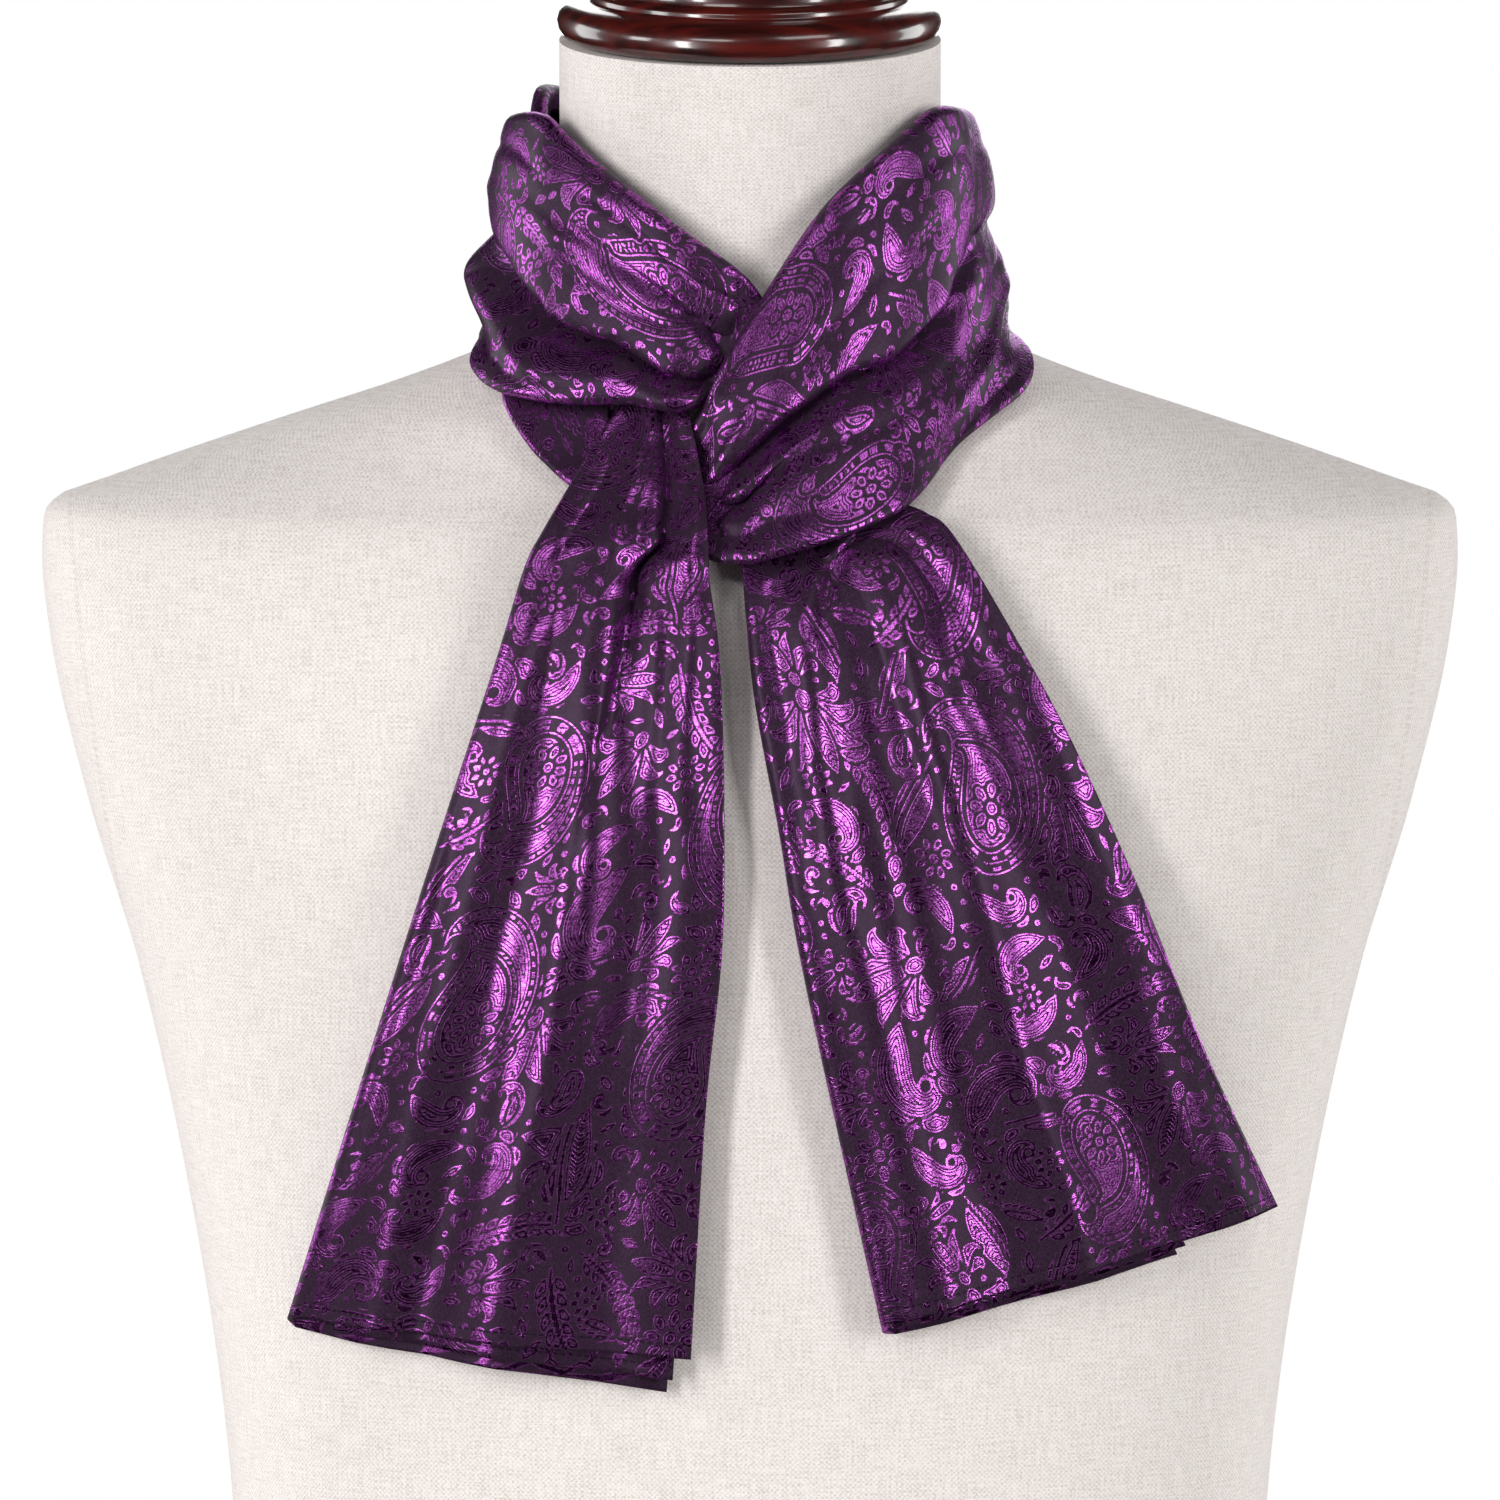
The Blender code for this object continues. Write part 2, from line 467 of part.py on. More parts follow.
class Tail:
    """A tail of the scarf: folded cloth that hangs down the form's front in three plies."""

    def __init__(self, name, rows, plies):
        self.name, self.rows = name, rows
        self.folds = FOLDS[name]
        (self.back_reach, self.back_left, self.back_right,
         self.inner_start, self.inner_end, self.inner_left, self.inner_right) = plies
        self.stations = np.linspace(0.0, len(rows) - 1.0, (len(rows) - 1) * TAIL_STEPS + 1)
        self.grid = np.linspace(0.0, 1.0, PRESS_CELLS + 1)
        self.lift = np.zeros((len(self.stations), len(self.grid)))

    def reach(self, station):
        widening = np.clip((station - BACK_WIDENS[0]) / (BACK_WIDENS[1] - BACK_WIDENS[0]), 0.0, 1.0)
        return NARROW_BACK + (self.back_reach - NARROW_BACK) * widening

    def point(self, station, across, drop, ply):
        """Middle points of the plies: ply 0 is the front one and 1 the back one; drop lowers the hem."""
        down = station / (len(self.rows) - 1.0)
        left_x, left_z, right_x, right_z, left_off, right_off, radius = np.moveaxis(
            along_sections(self.rows, station), -1, 0)
        x = left_x + (right_x - left_x) * across
        z = left_z + (right_z - left_z) * across - drop * down ** 3
        rows = self.lift[np.rint(np.ravel(station) * TAIL_STEPS).astype(int)]
        lift = [np.interp(a, self.grid, row) for a, row in zip(np.ravel(across), rows)]
        lift = np.reshape(lift, x.shape)
        front = left_off + (right_off - left_off) * across + relief(self.folds, station, across) + lift
        least = CLOTH / 2 + CLEAR
        front = np.maximum(front, least + np.where(down > 0.0, 2 * THREE_PLIES, EDGE_ROOM))
        apart = np.clip(2 * radius, 0.0, front - least)
        return np.stack([x, form_front(x, z) - front + apart * ply, z], axis=-1)

    def lay_over(self, walls):
        stations, across = np.meshgrid(self.stations, self.grid, indexing="ij")
        ply = np.where(across < self.reach(stations) + BACK_MARGIN, 1.0, 0.0)
        under = self.point(stations, across, 0.0, ply)
        out = np.broadcast_to(np.array([0.0, -1.0, 0.0]), under.shape)
        self.lift += spread(rise_over(under, out, walls))

    def outer_sheet(self):
        """The outer cloth: the front, the fold down its left edge and the ply behind."""
        sheet = []
        for station in self.stations:
            front = [(across, 0.0, 0.0) for across in np.linspace(1.0, EDGE_SHARE, TAIL_CELLS + 1)]
            behind = [(1 - math.cos(a)) / 2 for a in np.linspace(0.0, math.pi, TURN_CELLS + 1)[1:]]
            turn = [(EDGE_SHARE * (1 - 2 * math.sqrt(ply - ply * ply)), self.back_left * ply, ply)
                    for ply in behind]
            slant = self.back_right - self.back_left
            back = [(across, self.back_left + slant * across, 1.0)
                    for across in np.linspace(EDGE_SHARE, self.reach(station), TAIL_CELLS // 2 + 1)[1:]]
            across, drop, ply = np.array(front + turn + back).T
            sheet.append(self.point(np.full(across.shape, station), across, drop, ply))
        return np.array(sheet)

    def inner_sheet(self):
        """The ply that lies folded inside the tail and shows at its hem."""
        sheet = []
        for station in self.stations[self.stations >= INNER_STARTS]:
            across = np.linspace(self.inner_end, self.inner_start, TAIL_CELLS + 1)
            drop = self.inner_left + (self.inner_right - self.inner_left) * across
            sheet.append(self.point(np.full(across.shape, station), across, drop, INNER_PLY))
        return np.array(sheet)


def form_solid():
    heights = [row[0] for row in FORM_SLICES]
    middle = [(a + b) / 2 for a, b in zip(heights, heights[1:]) if b - a > 30.0 or 540.0 < a < 600.0]
    levels = np.array(sorted(heights + middle))
    half_width, half_depth, centre_y, square = smooth_columns(FORM_SLICES, levels).T
    angle = np.linspace(0.0, 2 * math.pi, FORM_SEGMENTS, endpoint=False)
    side, front = np.sin(angle), -np.cos(angle)
    power = (2.0 / square)[:, None]
    x = half_width[:, None] * np.sign(side) * np.abs(side) ** power
    y = centre_y[:, None] + half_depth[:, None] * np.sign(front) * np.abs(front) ** power
    rings = np.stack([x, y, np.broadcast_to(levels[:, None], x.shape)], axis=-1)
    return ring_stack(lean(rings))


def cap_solid():
    angle = np.linspace(0.0, 2 * math.pi, CAP_SEGMENTS, endpoint=False)
    rings = []
    for radius, height in CAP_PROFILE:
        x = radius * np.sin(angle)
        y = FORM_SLICES[-1][3] - radius * CAP_DEPTH_RATIO * np.cos(angle)
        rings.append(np.stack([x, y, np.full(angle.shape, NECK_TOP + CAP_GAP + height)], axis=-1))
    return ring_stack(lean(np.array(rings)))


def everywhere(turn):
    return np.ones(turn.shape)


def right_on_top(turn):
    """The right stretch lies over the left one from the knot to the crossing at the back."""
    return np.clip((CROSSING - turn) / EASE_TURN, 0.0, 1.0)


def left_of_knot(turn):
    return np.clip((-KNOT_TURN - turn) / EASE_TURN, 0.0, 1.0)


def left_on_top(turn):
    """The left stretch lies over the right one from beside the knot to the crossing at the back."""
    return left_of_knot(turn) * np.clip((turn + 360.0 - CROSSING) / EASE_TURN, 0.0, 1.0)


def main():
    for old in list(bpy.data.objects):
        bpy.data.objects.remove(old)
    cream = material("cream_linen", CREAM, 0.9)
    mahogany = material("lacquered_mahogany", MAHOGANY, 0.15)
    purple = material("purple_satin", PURPLE, 0.4)

    # each stretch is laid over what it crosses, in the order in which the scarf is tied
    form = form_solid()
    left = Tail("tail_left", TAIL_LEFT, TAIL_PLIES["left"])
    right = Tail("tail_right", TAIL_RIGHT, TAIL_PLIES["right"])
    under = Wound("collar_under", COLLAR_UNDER, UNDER_EDGE)
    over_left = Wound("collar_left", COLLAR_LEFT, COLLAR_EDGE)
    over_right = Wound("collar_right", COLLAR_RIGHT, COLLAR_EDGE)
    under_wall = wall_of(under.sheet())
    right_walls = [wall_of(right.outer_sheet()), wall_of(right.inner_sheet())]
    over_left.lay_over([under_wall], everywhere)
    over_right.lay_over(right_walls + [wall_of(over_left.sheet())], right_on_top)
    right_wall = wall_of(over_right.sheet())
    left.lay_over([under_wall, right_wall])
    left_walls = [wall_of(left.outer_sheet()), wall_of(left.inner_sheet())]
    over_left.lay_over(left_walls, left_of_knot)
    over_left.lay_over([right_wall], left_on_top)

    add_solid("form_body", form, cream)
    add_solid("neck_cap", cap_solid(), mahogany)
    add_solid("collar_under", under_wall, purple)
    add_solid("collar_right", right_wall, purple)
    add_solid("collar_left", wall_of(over_left.sheet()), purple)
    for name, (outer, inner) in (("tail_left", left_walls), ("tail_right", right_walls)):
        add_solid(name + "_outer", outer, purple)
        add_solid(name + "_inner", inner, purple)


main()
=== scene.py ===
"""A long paisley satin scarf, looped round the neck of a linen dress form with a turned mahogany cap.

Lengths are in millimetres until a mesh is made. X is the viewer's right, the front faces -Y and Z is up.
"""
import math

import bmesh
import bpy
import numpy as np
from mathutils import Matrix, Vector
from mathutils.bvhtree import BVHTree


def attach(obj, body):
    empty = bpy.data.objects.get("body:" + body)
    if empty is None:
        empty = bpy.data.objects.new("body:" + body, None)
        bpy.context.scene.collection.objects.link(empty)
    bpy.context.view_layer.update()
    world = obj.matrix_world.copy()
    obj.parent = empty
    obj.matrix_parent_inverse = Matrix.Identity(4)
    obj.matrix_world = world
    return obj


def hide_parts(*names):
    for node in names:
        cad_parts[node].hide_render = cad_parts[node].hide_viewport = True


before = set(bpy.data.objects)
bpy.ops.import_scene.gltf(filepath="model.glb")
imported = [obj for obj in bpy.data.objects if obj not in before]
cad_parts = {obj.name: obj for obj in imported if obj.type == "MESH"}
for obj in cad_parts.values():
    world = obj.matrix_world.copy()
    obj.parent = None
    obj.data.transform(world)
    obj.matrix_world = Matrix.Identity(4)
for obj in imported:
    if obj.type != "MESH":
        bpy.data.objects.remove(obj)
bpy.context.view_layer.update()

# --------------------------------------
# The dress form: a limbless men's bust of hard foam under cream linen, sewn with one seam round each
# arm plate and one down the middle of the back. The linen is stretched smooth and pulled in under the
# neck cap. It is cut flat at the bottom.
METRES = 0.001  # a millimetre
#   height  half_width  half_depth  centre_y  squareness
FORM_SLICES = [
    (0, 161, 106, 0, 2.4),
    (60, 165, 108, 0, 2.4),
    (130, 160, 104, 0, 2.4),
    (200, 164, 106, 0, 2.4),
    (240, 168, 110, 0, 2.4),
    (308, 179, 116, 0, 2.4),
    (371, 193, 119, 0, 2.4),
    (424, 209, 116, 0, 2.4),
    (475, 220.5, 106, 0, 2.5),
    (500, 223, 95, 1, 2.5),
    (512, 222.5, 88, 2, 2.4),
    (517.5, 218.5, 84, 3, 2.2),
    (522.5, 205, 81, 3.5, 2.1),
    (531, 181, 77, 4.5, 1.9),
    (544, 142, 73.5, 6, 1.75),
    (553, 114, 71.5, 7, 1.7),
    (561, 92, 70, 8, 1.75),
    (568, 76, 68, 8.5, 1.9),
    (576, 67.5, 66, 9, 2),
    (590, 62, 64, 8.5, 2),
    (610, 60, 63, 7, 2),
    (661, 60, 63, 2, 2),
]
NECK_TOP = 661.0
LEAN_START = 605.0
LEAN = 8.0  # degrees that the neck's top plane dips to the front
FORM_SIDES = 224
FORM_RINGS = (9, 24)  # cuts along the form's height, and again in each part
RING_SPREAD = 0.55  # how much the rings crowd towards the shoulders
RING_BIAS = 0.35  # share of that at the bottom
HALF_RING = 360  # steps round half of a ring that the threads are measured along
THREAD_LEVELS = 133
SOFT_EDGE = 50.0  # degrees under which the form's edges are smooth


def smooth_columns(rows, keys):
    """A table's other columns, read at the keys along its first one with curves that never overshoot."""
    rows = np.array(rows, dtype=float)
    x, y = rows[:, 0], rows[:, 1:]
    keys = np.clip(np.asarray(keys, dtype=float), x[0], x[-1])
    width = np.diff(x)
    slope = np.diff(y, axis=0) / width[:, None]
    tangent = np.zeros_like(y)
    tangent[0], tangent[-1] = slope[0], slope[-1]
    before, after = slope[:-1], slope[1:]
    agree = before * after > 0
    total = np.where(agree, before + after, 1.0)
    tangent[1:-1] = np.where(agree, 2.0 * before * after / total, 0.0)
    cell = np.clip(np.searchsorted(x, keys, side="right") - 1, 0, len(width) - 1)
    step = width[cell][..., None]
    t = ((keys - x[cell]) / width[cell])[..., None]
    read = ((1 + 2 * t) * (1 - t) ** 2 * y[cell] + t * (1 - t) ** 2 * step * tangent[cell]
            + t * t * (3 - 2 * t) * y[cell + 1] + t * t * (t - 1) * step * tangent[cell + 1])
    return np.moveaxis(read, -1, 0)


def rounded(reach, way, square):
    """One side of a rounded oblong: how far out it is, from the sine or cosine of the way it lies."""
    return reach * np.sign(way) * np.abs(way) ** (2.0 / square)


def lean(points):
    """Tips the neck's top towards the front, little by little above LEAN_START."""
    share = np.clip((points[..., 2] - LEAN_START) / (NECK_TOP - LEAN_START), 0.0, 1.0)
    leaned = points.copy()
    leaned[..., 2] += share * math.tan(math.radians(LEAN)) * (points[..., 1] - FORM_SLICES[-1][3])
    return leaned


def placed(name, data):
    """A new object, in the scene."""
    made = bpy.data.objects.new(name, data)
    bpy.context.collection.objects.link(made)
    return made


def running(steps):
    """Sums from 0 on, along the last axis."""
    return np.concatenate([np.zeros(steps.shape[:-1] + (1,)), steps.cumsum(axis=-1)], axis=-1)


def blend(here, there, share):
    return here + (there - here) * share


def mesh_points(piece):
    points = np.zeros(len(piece.data.vertices) * 3)
    piece.data.vertices.foreach_get("co", points)
    return points.reshape(-1, 3)


def move_points(piece, points):
    piece.data.vertices.foreach_set("co", points.ravel())
    piece.data.update()


def point_values(piece, name, values):
    """Keeps three numbers at every point of a piece, for its material to read."""
    attribute = piece.data.attributes.new(name, "FLOAT_VECTOR", "POINT")
    attribute.data.foreach_set("vector", np.asarray(values, dtype=np.float32).ravel())


bpy.ops.object.select_all(action="DESELECT")
bpy.ops.mesh.primitive_cylinder_add(vertices=FORM_SIDES, radius=1, depth=1, end_fill_type="NGON")
linen_form = bpy.context.object
linen_form.name = "linen_form"
for cuts in FORM_RINGS:
    bpy.ops.object.mode_set(mode="EDIT")
    bpy.ops.mesh.select_all(action="DESELECT")
    bpy.ops.mesh.select_mode(type="EDGE")
    bpy.ops.object.mode_set(mode="OBJECT")
    ends = mesh_points(linen_form)
    for edge in linen_form.data.edges:
        a, b = edge.vertices
        edge.select = bool(abs(ends[a, 2] - ends[b, 2]) > 1e-4)
    bpy.ops.object.mode_set(mode="EDIT")
    bpy.ops.mesh.subdivide(number_cuts=cuts)
    bpy.ops.object.mode_set(mode="OBJECT")
start = mesh_points(linen_form)
share = start[:, 2] + 0.5
height = NECK_TOP * (share + RING_SPREAD * share * (1 - share) * (RING_BIAS + share))
angle = np.arctan2(start[:, 0], -start[:, 1])
half_width, half_depth, centre_y, square = smooth_columns(FORM_SLICES, height)
form_points = np.stack([
    rounded(half_width, np.sin(angle), square),
    centre_y + rounded(half_depth, -np.cos(angle), square),
    height], axis=-1)
move_points(linen_form, lean(form_points) * METRES)
# how the linen's threads run: round the form from the middle of its front, and up it
ring_turn = np.linspace(-math.pi, math.pi, 2 * HALF_RING + 1)
ring_levels = np.linspace(0.0, NECK_TOP, THREAD_LEVELS)
wide, deep, _, square = (column[:, None] for column in smooth_columns(FORM_SLICES, ring_levels))
ring_x, ring_y = rounded(wide, np.sin(ring_turn), square), rounded(deep, np.cos(ring_turn), square)
run = running(np.hypot(np.diff(ring_x), np.diff(ring_y)))
run -= run[:, [HALF_RING]]
row = height / NECK_TOP * (THREAD_LEVELS - 1)
column = (angle + math.pi) / (2 * math.pi) * 2 * HALF_RING


def between(grid, row, column):
    """A grid of numbers read at fractional rows and columns."""
    i = np.clip(np.floor(row).astype(int), 0, grid.shape[0] - 2)
    j = np.clip(np.floor(column).astype(int), 0, grid.shape[1] - 2)
    y, x = np.clip(row - i, 0.0, 1.0), np.clip(column - j, 0.0, 1.0)
    return ((grid[i, j] * (1 - x) + grid[i, j + 1] * x) * (1 - y)
            + (grid[i + 1, j] * (1 - x) + grid[i + 1, j + 1] * x) * y)


point_values(linen_form, "threads", np.stack([between(run, row, column), height, np.zeros(len(height))], -1))
bpy.ops.object.shade_smooth_by_angle(angle=math.radians(SOFT_EDGE))


class Wire:
    """A value in a material. Sums written with it add Math nodes; node() adds a node of any other kind."""

    def __init__(self, tree, socket):
        self.tree, self.socket = tree, socket

    def node(self, kind, settings=None, sockets=None, output=0):
        made = self.tree.nodes.new(kind)
        for key, value in (settings or {}).items():
            setattr(made, key, value)
        for key, value in (sockets or {}).items():
            if isinstance(value, Wire):
                self.tree.links.new(value.socket, made.inputs[key])
            else:
                made.inputs[key].default_value = value
        return Wire(self.tree, made.outputs[output])

    def maths(self, operation, *others):
        return self.node("ShaderNodeMath", {"operation": operation}, dict(enumerate((self,) + others)))

    def __add__(self, other):
        return self.maths("ADD", other)

    def __sub__(self, other):
        return self.maths("SUBTRACT", other)

    def __rsub__(self, other):
        return (self * -1.0) + other

    def __mul__(self, other):
        return self.maths("MULTIPLY", other)

    def split(self):
        """The x, y and z of a vector."""
        parts = self.node("ShaderNodeSeparateXYZ", None, {0: self})
        return [Wire(self.tree, output) for output in parts.socket.node.outputs]

    def sine(self):
        return self.maths("SINE")

    def most(self, other):
        return self.maths("MAXIMUM", other)

    def size(self):
        return self.maths("ABSOLUTE")

    def past(self, edge, soft):
        """0 below the edge and 1 above it, over a soft step."""
        return self.node("ShaderNodeMapRange", {"interpolation_type": "SMOOTHSTEP"},
                         {"Value": self, "From Min": edge - soft, "From Max": edge + soft})

    def noise(self, scale, detail=2.0):
        return self.node("ShaderNodeTexNoise", None, {"Vector": self, "Scale": scale, "Detail": detail})

    def colour(self, red, green, blue):
        made = self.node("ShaderNodeRGB")
        made.socket.default_value = (red, green, blue, 1.0)
        return made

    def mixed(self, share, other):
        """This colour where the share is 0, and the other one where it is 1."""
        # the node's colours are its sockets 6 and 7, and its mixed colour is its output 2
        return self.node("ShaderNodeMix", {"data_type": "RGBA"}, {"Factor": share, 6: self, 7: other}, 2)


def finish(name, base):
    """A new material with these values, a wire to add its first nodes from, and its main shader."""
    made = bpy.data.materials.new(name)
    made.use_nodes = True
    shader = made.node_tree.nodes["Principled BSDF"]
    for key, value in base.items():
        shader.inputs[key].default_value = value
    return made, Wire(made.node_tree, None), shader


def plug(node, key, wire):
    wire.tree.links.new(wire.socket, node.inputs[key])


def stretched(vector, x, y, z=1.0):
    return vector.node("ShaderNodeMapping", None, {"Vector": vector, "Scale": (x, y, z)})


LINEN_THREAD = 0.80  # from one thread to the next
# where the linen is placed in metres:
SEAM = (0.0007, 0.0005)  # from a seam's middle to its edge, and how soft that is
SEAM_DASH = 2500.0  # how fast its stitches follow each other
ARM_SEAM_LOW = 0.33  # where the arm plates' seams run out below
ARM_PLANE = (0.2127, 0.517, 0.12)
linen, wires, shader = finish("cream_linen", {
    "Roughness": 0.88, "Sheen Weight": 0.12, "Specular IOR Level": 0.25})
threads = wires.node("ShaderNodeAttribute", {"attribute_name": "threads"}, None, "Vector")
round_form, up_form, _ = threads.split()
warp = stretched(threads, 1.6, 0.09).noise(1.0, 3.0)
weft = stretched(threads, 0.09, 1.6).noise(1.0, 3.0)
grain = stretched(threads, 1.1, 1.3).noise(1.0, 2.0)
weave = (round_form * (math.pi / LINEN_THREAD)).sine() * (up_form * (math.pi / LINEN_THREAD)).sine()
slubs = warp * 0.5 + weft * 0.5
tone = (slubs - 0.5) * 0.9 + (grain - 0.5) * 0.7 + weave * 0.14 + 0.5
pale = wires.colour(0.850, 0.798, 0.768)
shade = wires.colour(0.550, 0.492, 0.462)
sideways, backwards, level = wires.node("ShaderNodeTexCoord", None, None, "Object").split()
from_middle = sideways.size()
# the seam round each arm plate lies in a plane that leans a little outwards
off_seam = (from_middle - ARM_PLANE[0] - (level - ARM_PLANE[1]) * ARM_PLANE[2]).size()
arm_seam = (1.0 - off_seam.past(*SEAM)) * level.past(ARM_SEAM_LOW, 0.01)
back_seam = (1.0 - from_middle.past(*SEAM)) * backwards.past(0.02, 0.01)
seam = arm_seam + back_seam
dashes = (level * SEAM_DASH).sine().past(-0.2, 0.5)
plug(shader, "Base Color", shade.mixed(tone.past(0.42, 0.30), pale).mixed(
    seam * dashes * 0.22, wires.colour(0.42, 0.36, 0.32)))
raised = weave * 0.5 + slubs * 0.9 - seam * 1.5
plug(shader, "Normal", raised.node("ShaderNodeBump", None, {
    "Height": raised, "Strength": 0.28, "Distance": 0.2 * METRES}))
linen_form.data.materials.append(linen)
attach(linen_form, "root")
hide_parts("form_body")

# --------------------------------------
# The neck cap: turned mahogany under dark glossy lacquer, with a round moulding below, a small bead and
# a low dome. It is bolted on the neck and leans with it.
CAP_GAP = 0.3  # over the neck's top
CAP_DEPTH_RATIO = 1.05  # its depth over its width, as the neck's
#   radius  height
CAP_PROFILE = [
    (0, 0), (30, 0), (54, 0), (57, 0.5), (59.2, 1.8), (60.5, 4.2), (60.8, 6.6), (60, 9),
    (58, 10.9), (55.4, 11.9), (52, 12.3), (50.4, 12.6), (50, 13.2), (50.2, 14), (49.6, 14.9),
    (48.4, 15.4), (46.8, 15.6), (46.3, 16.2), (46.2, 18), (45.8, 20.5), (44.6, 24), (42.6, 26.8),
    (39.4, 29.2), (35, 31.2), (29.5, 32.7), (22, 33.8), (13, 34.4), (5, 34.6), (0, 34.6),
]
CAP_STEPS = 160
CAP_EDGE = 60.0  # degrees under which its edges are smooth
bpy.ops.object.select_all(action="DESELECT")
profile = bpy.data.meshes.new("mahogany_cap")
profile.from_pydata([(radius, 0.0, height) for radius, height in CAP_PROFILE],
                    [(i, i + 1) for i in range(len(CAP_PROFILE) - 1)], [])
mahogany_cap = placed("mahogany_cap", profile)
bpy.context.view_layer.objects.active = mahogany_cap
mahogany_cap.select_set(True)
bpy.ops.object.mode_set(mode="EDIT")
bpy.ops.mesh.select_all(action="SELECT")
bpy.ops.mesh.spin(steps=CAP_STEPS, angle=2 * math.pi, center=(0, 0, 0), axis=(0, 0, 1))
bpy.ops.mesh.select_all(action="SELECT")
bpy.ops.mesh.remove_doubles(threshold=0.01)
bpy.ops.mesh.normals_make_consistent(inside=False)
bpy.ops.object.mode_set(mode="OBJECT")
turned = mesh_points(mahogany_cap)
turned[:, 1] = FORM_SLICES[-1][3] + turned[:, 1] * CAP_DEPTH_RATIO
turned[:, 2] += NECK_TOP + CAP_GAP
move_points(mahogany_cap, lean(turned) * METRES)
bpy.ops.object.shade_smooth_by_angle(angle=math.radians(CAP_EDGE))
mahogany, wires, shader = finish("lacquered_mahogany", {
    "Roughness": 0.3, "Coat Weight": 1.0, "Coat Roughness": 0.12, "Specular IOR Level": 0.5})
place = wires.node("ShaderNodeTexCoord", None, None, "Object")
rings = stretched(place, 9.0, 60.0, 60.0).noise(3.0, 4.0)
pores = stretched(place, 60.0, 900.0, 900.0).noise(1.0, 2.0)
dark = wires.colour(0.014, 0.0018, 0.0016)
red = wires.colour(0.095, 0.007, 0.0045)
plug(shader, "Base Color", dark.mixed((rings * 0.8 + pores * 0.25).past(0.52, 0.2), red))
mahogany_cap.data.materials.append(mahogany)
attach(mahogany_cap, "root")
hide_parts("neck_cap")

# --------------------------------------
# The chart of the jacquard: an all-over traditional paisley, drawn here as a repeat of tapered strokes:
# drops, commas, leafy sprigs, flowers and curls. The chart keeps, for every place in the repeat, how far
# inside a stroke it is, how far along it, and how the stroke is filled.
REPEAT = (150.0, 190.0)  # width and length of one repeat
CHART_CELL = 0.5
LINES, BEADS, RUNGS = 0.0, 0.5, 1.0  # how a stroke is filled
PLAIN_GROUND = -9.0  # the chart's depth where no stroke is near
LINE_STEPS = 64
STROKE_STEP = 1.2  # length of the straight pieces that a stroke is drawn in
chart = np.zeros((int(REPEAT[1] / CHART_CELL), int(REPEAT[0] / CHART_CELL), 3))
chart[..., 0] = PLAIN_GROUND


def direction(turn):
    return math.cos(math.radians(turn)), math.sin(math.radians(turn))


def centre_line(start, heading, length, bends, shares):
    """Points and headings along a stroke: it turns steadily by one bend, and ever faster by the other."""
    steps = np.linspace(0.0, 1.0, LINE_STEPS + 1)
    turn = np.radians(heading + bends[0] * steps + bends[1] * steps ** 3)
    x, y = (first + length / LINE_STEPS * running(way((turn[1:] + turn[:-1]) / 2))
            for first, way in zip(start, (np.cos, np.sin)))
    return (np.interp(shares, steps, line) for line in (x, y, np.degrees(turn)))


def stroke(at, start, heading, length, bends, width, fullest=0.4, taper=1.0, fill=LINES, moat=0.9):
    """One tapered stroke of a motif that is set at (x, y, turn, size, hand), with ground kept round it."""
    place_x, place_y, place_turn, size, hand = at
    steps = max(6, int(length * size / STROKE_STEP))
    share = np.linspace(0.0, 1.0, steps + 1)
    local_x, local_y, _ = centre_line(start, heading, length, bends, share)
    c, s = direction(place_turn)
    line_x = place_x + size * (c * local_x - s * local_y * hand)
    line_y = place_y + size * (s * local_x + c * local_y * hand)
    rising = np.sin(math.pi / 2 * np.minimum(share / fullest, 1.0)) ** 0.8
    falling = np.cos(math.pi / 2 * np.clip((share - fullest) / (1 - fullest), 0.0, 1.0)) ** taper
    radius = np.maximum(width * size / 2 * rising * falling, 0.5)
    margin = width * size / 2 + moat + 2.0
    rows, columns = (
        np.arange(int((line.min() - margin) / CHART_CELL), int((line.max() + margin) / CHART_CELL) + 1)
        for line in (line_y, line_x))
    px, py = columns[None, :] * CHART_CELL, rows[:, None] * CHART_CELL
    inside = np.full((len(rows), len(columns)), -99.0)
    along = np.zeros(inside.shape)
    for i in range(steps):
        ex, ey = line_x[i + 1] - line_x[i], line_y[i + 1] - line_y[i]
        t = np.clip(((px - line_x[i]) * ex + (py - line_y[i]) * ey) / (ex * ex + ey * ey), 0.0, 1.0)
        away = np.hypot(px - line_x[i] - t * ex, py - line_y[i] - t * ey)
        depth = blend(radius[i], radius[i + 1], t) - away
        better = depth > inside
        inside[better] = depth[better]
        along[better] = ((i + t) / steps * length * size)[better]
    patch = np.ix_(rows % chart.shape[0], columns % chart.shape[1])
    old = chart[patch]
    own = (inside > -moat / 2) | (inside > old[..., 0])
    old[..., 0] = np.maximum(inside, np.minimum(old[..., 0], -inside - moat))
    old[..., 1][own] = along[own]
    old[..., 2][own] = fill
    chart[patch] = old


def rosette(at):
    """Eight petals round a ringed eye."""
    for turn in range(0, 360, 45):
        c, s = direction(turn)
        stroke(at, (2.6 * c, 2.6 * s), turn, 5.6, (0, 0), 3.6, 0.6, 0.6)
    stroke(at, (-0.2, 0), 0, 0.4, (0, 0), 4.2, 0.5, 0.1, moat=1.1)


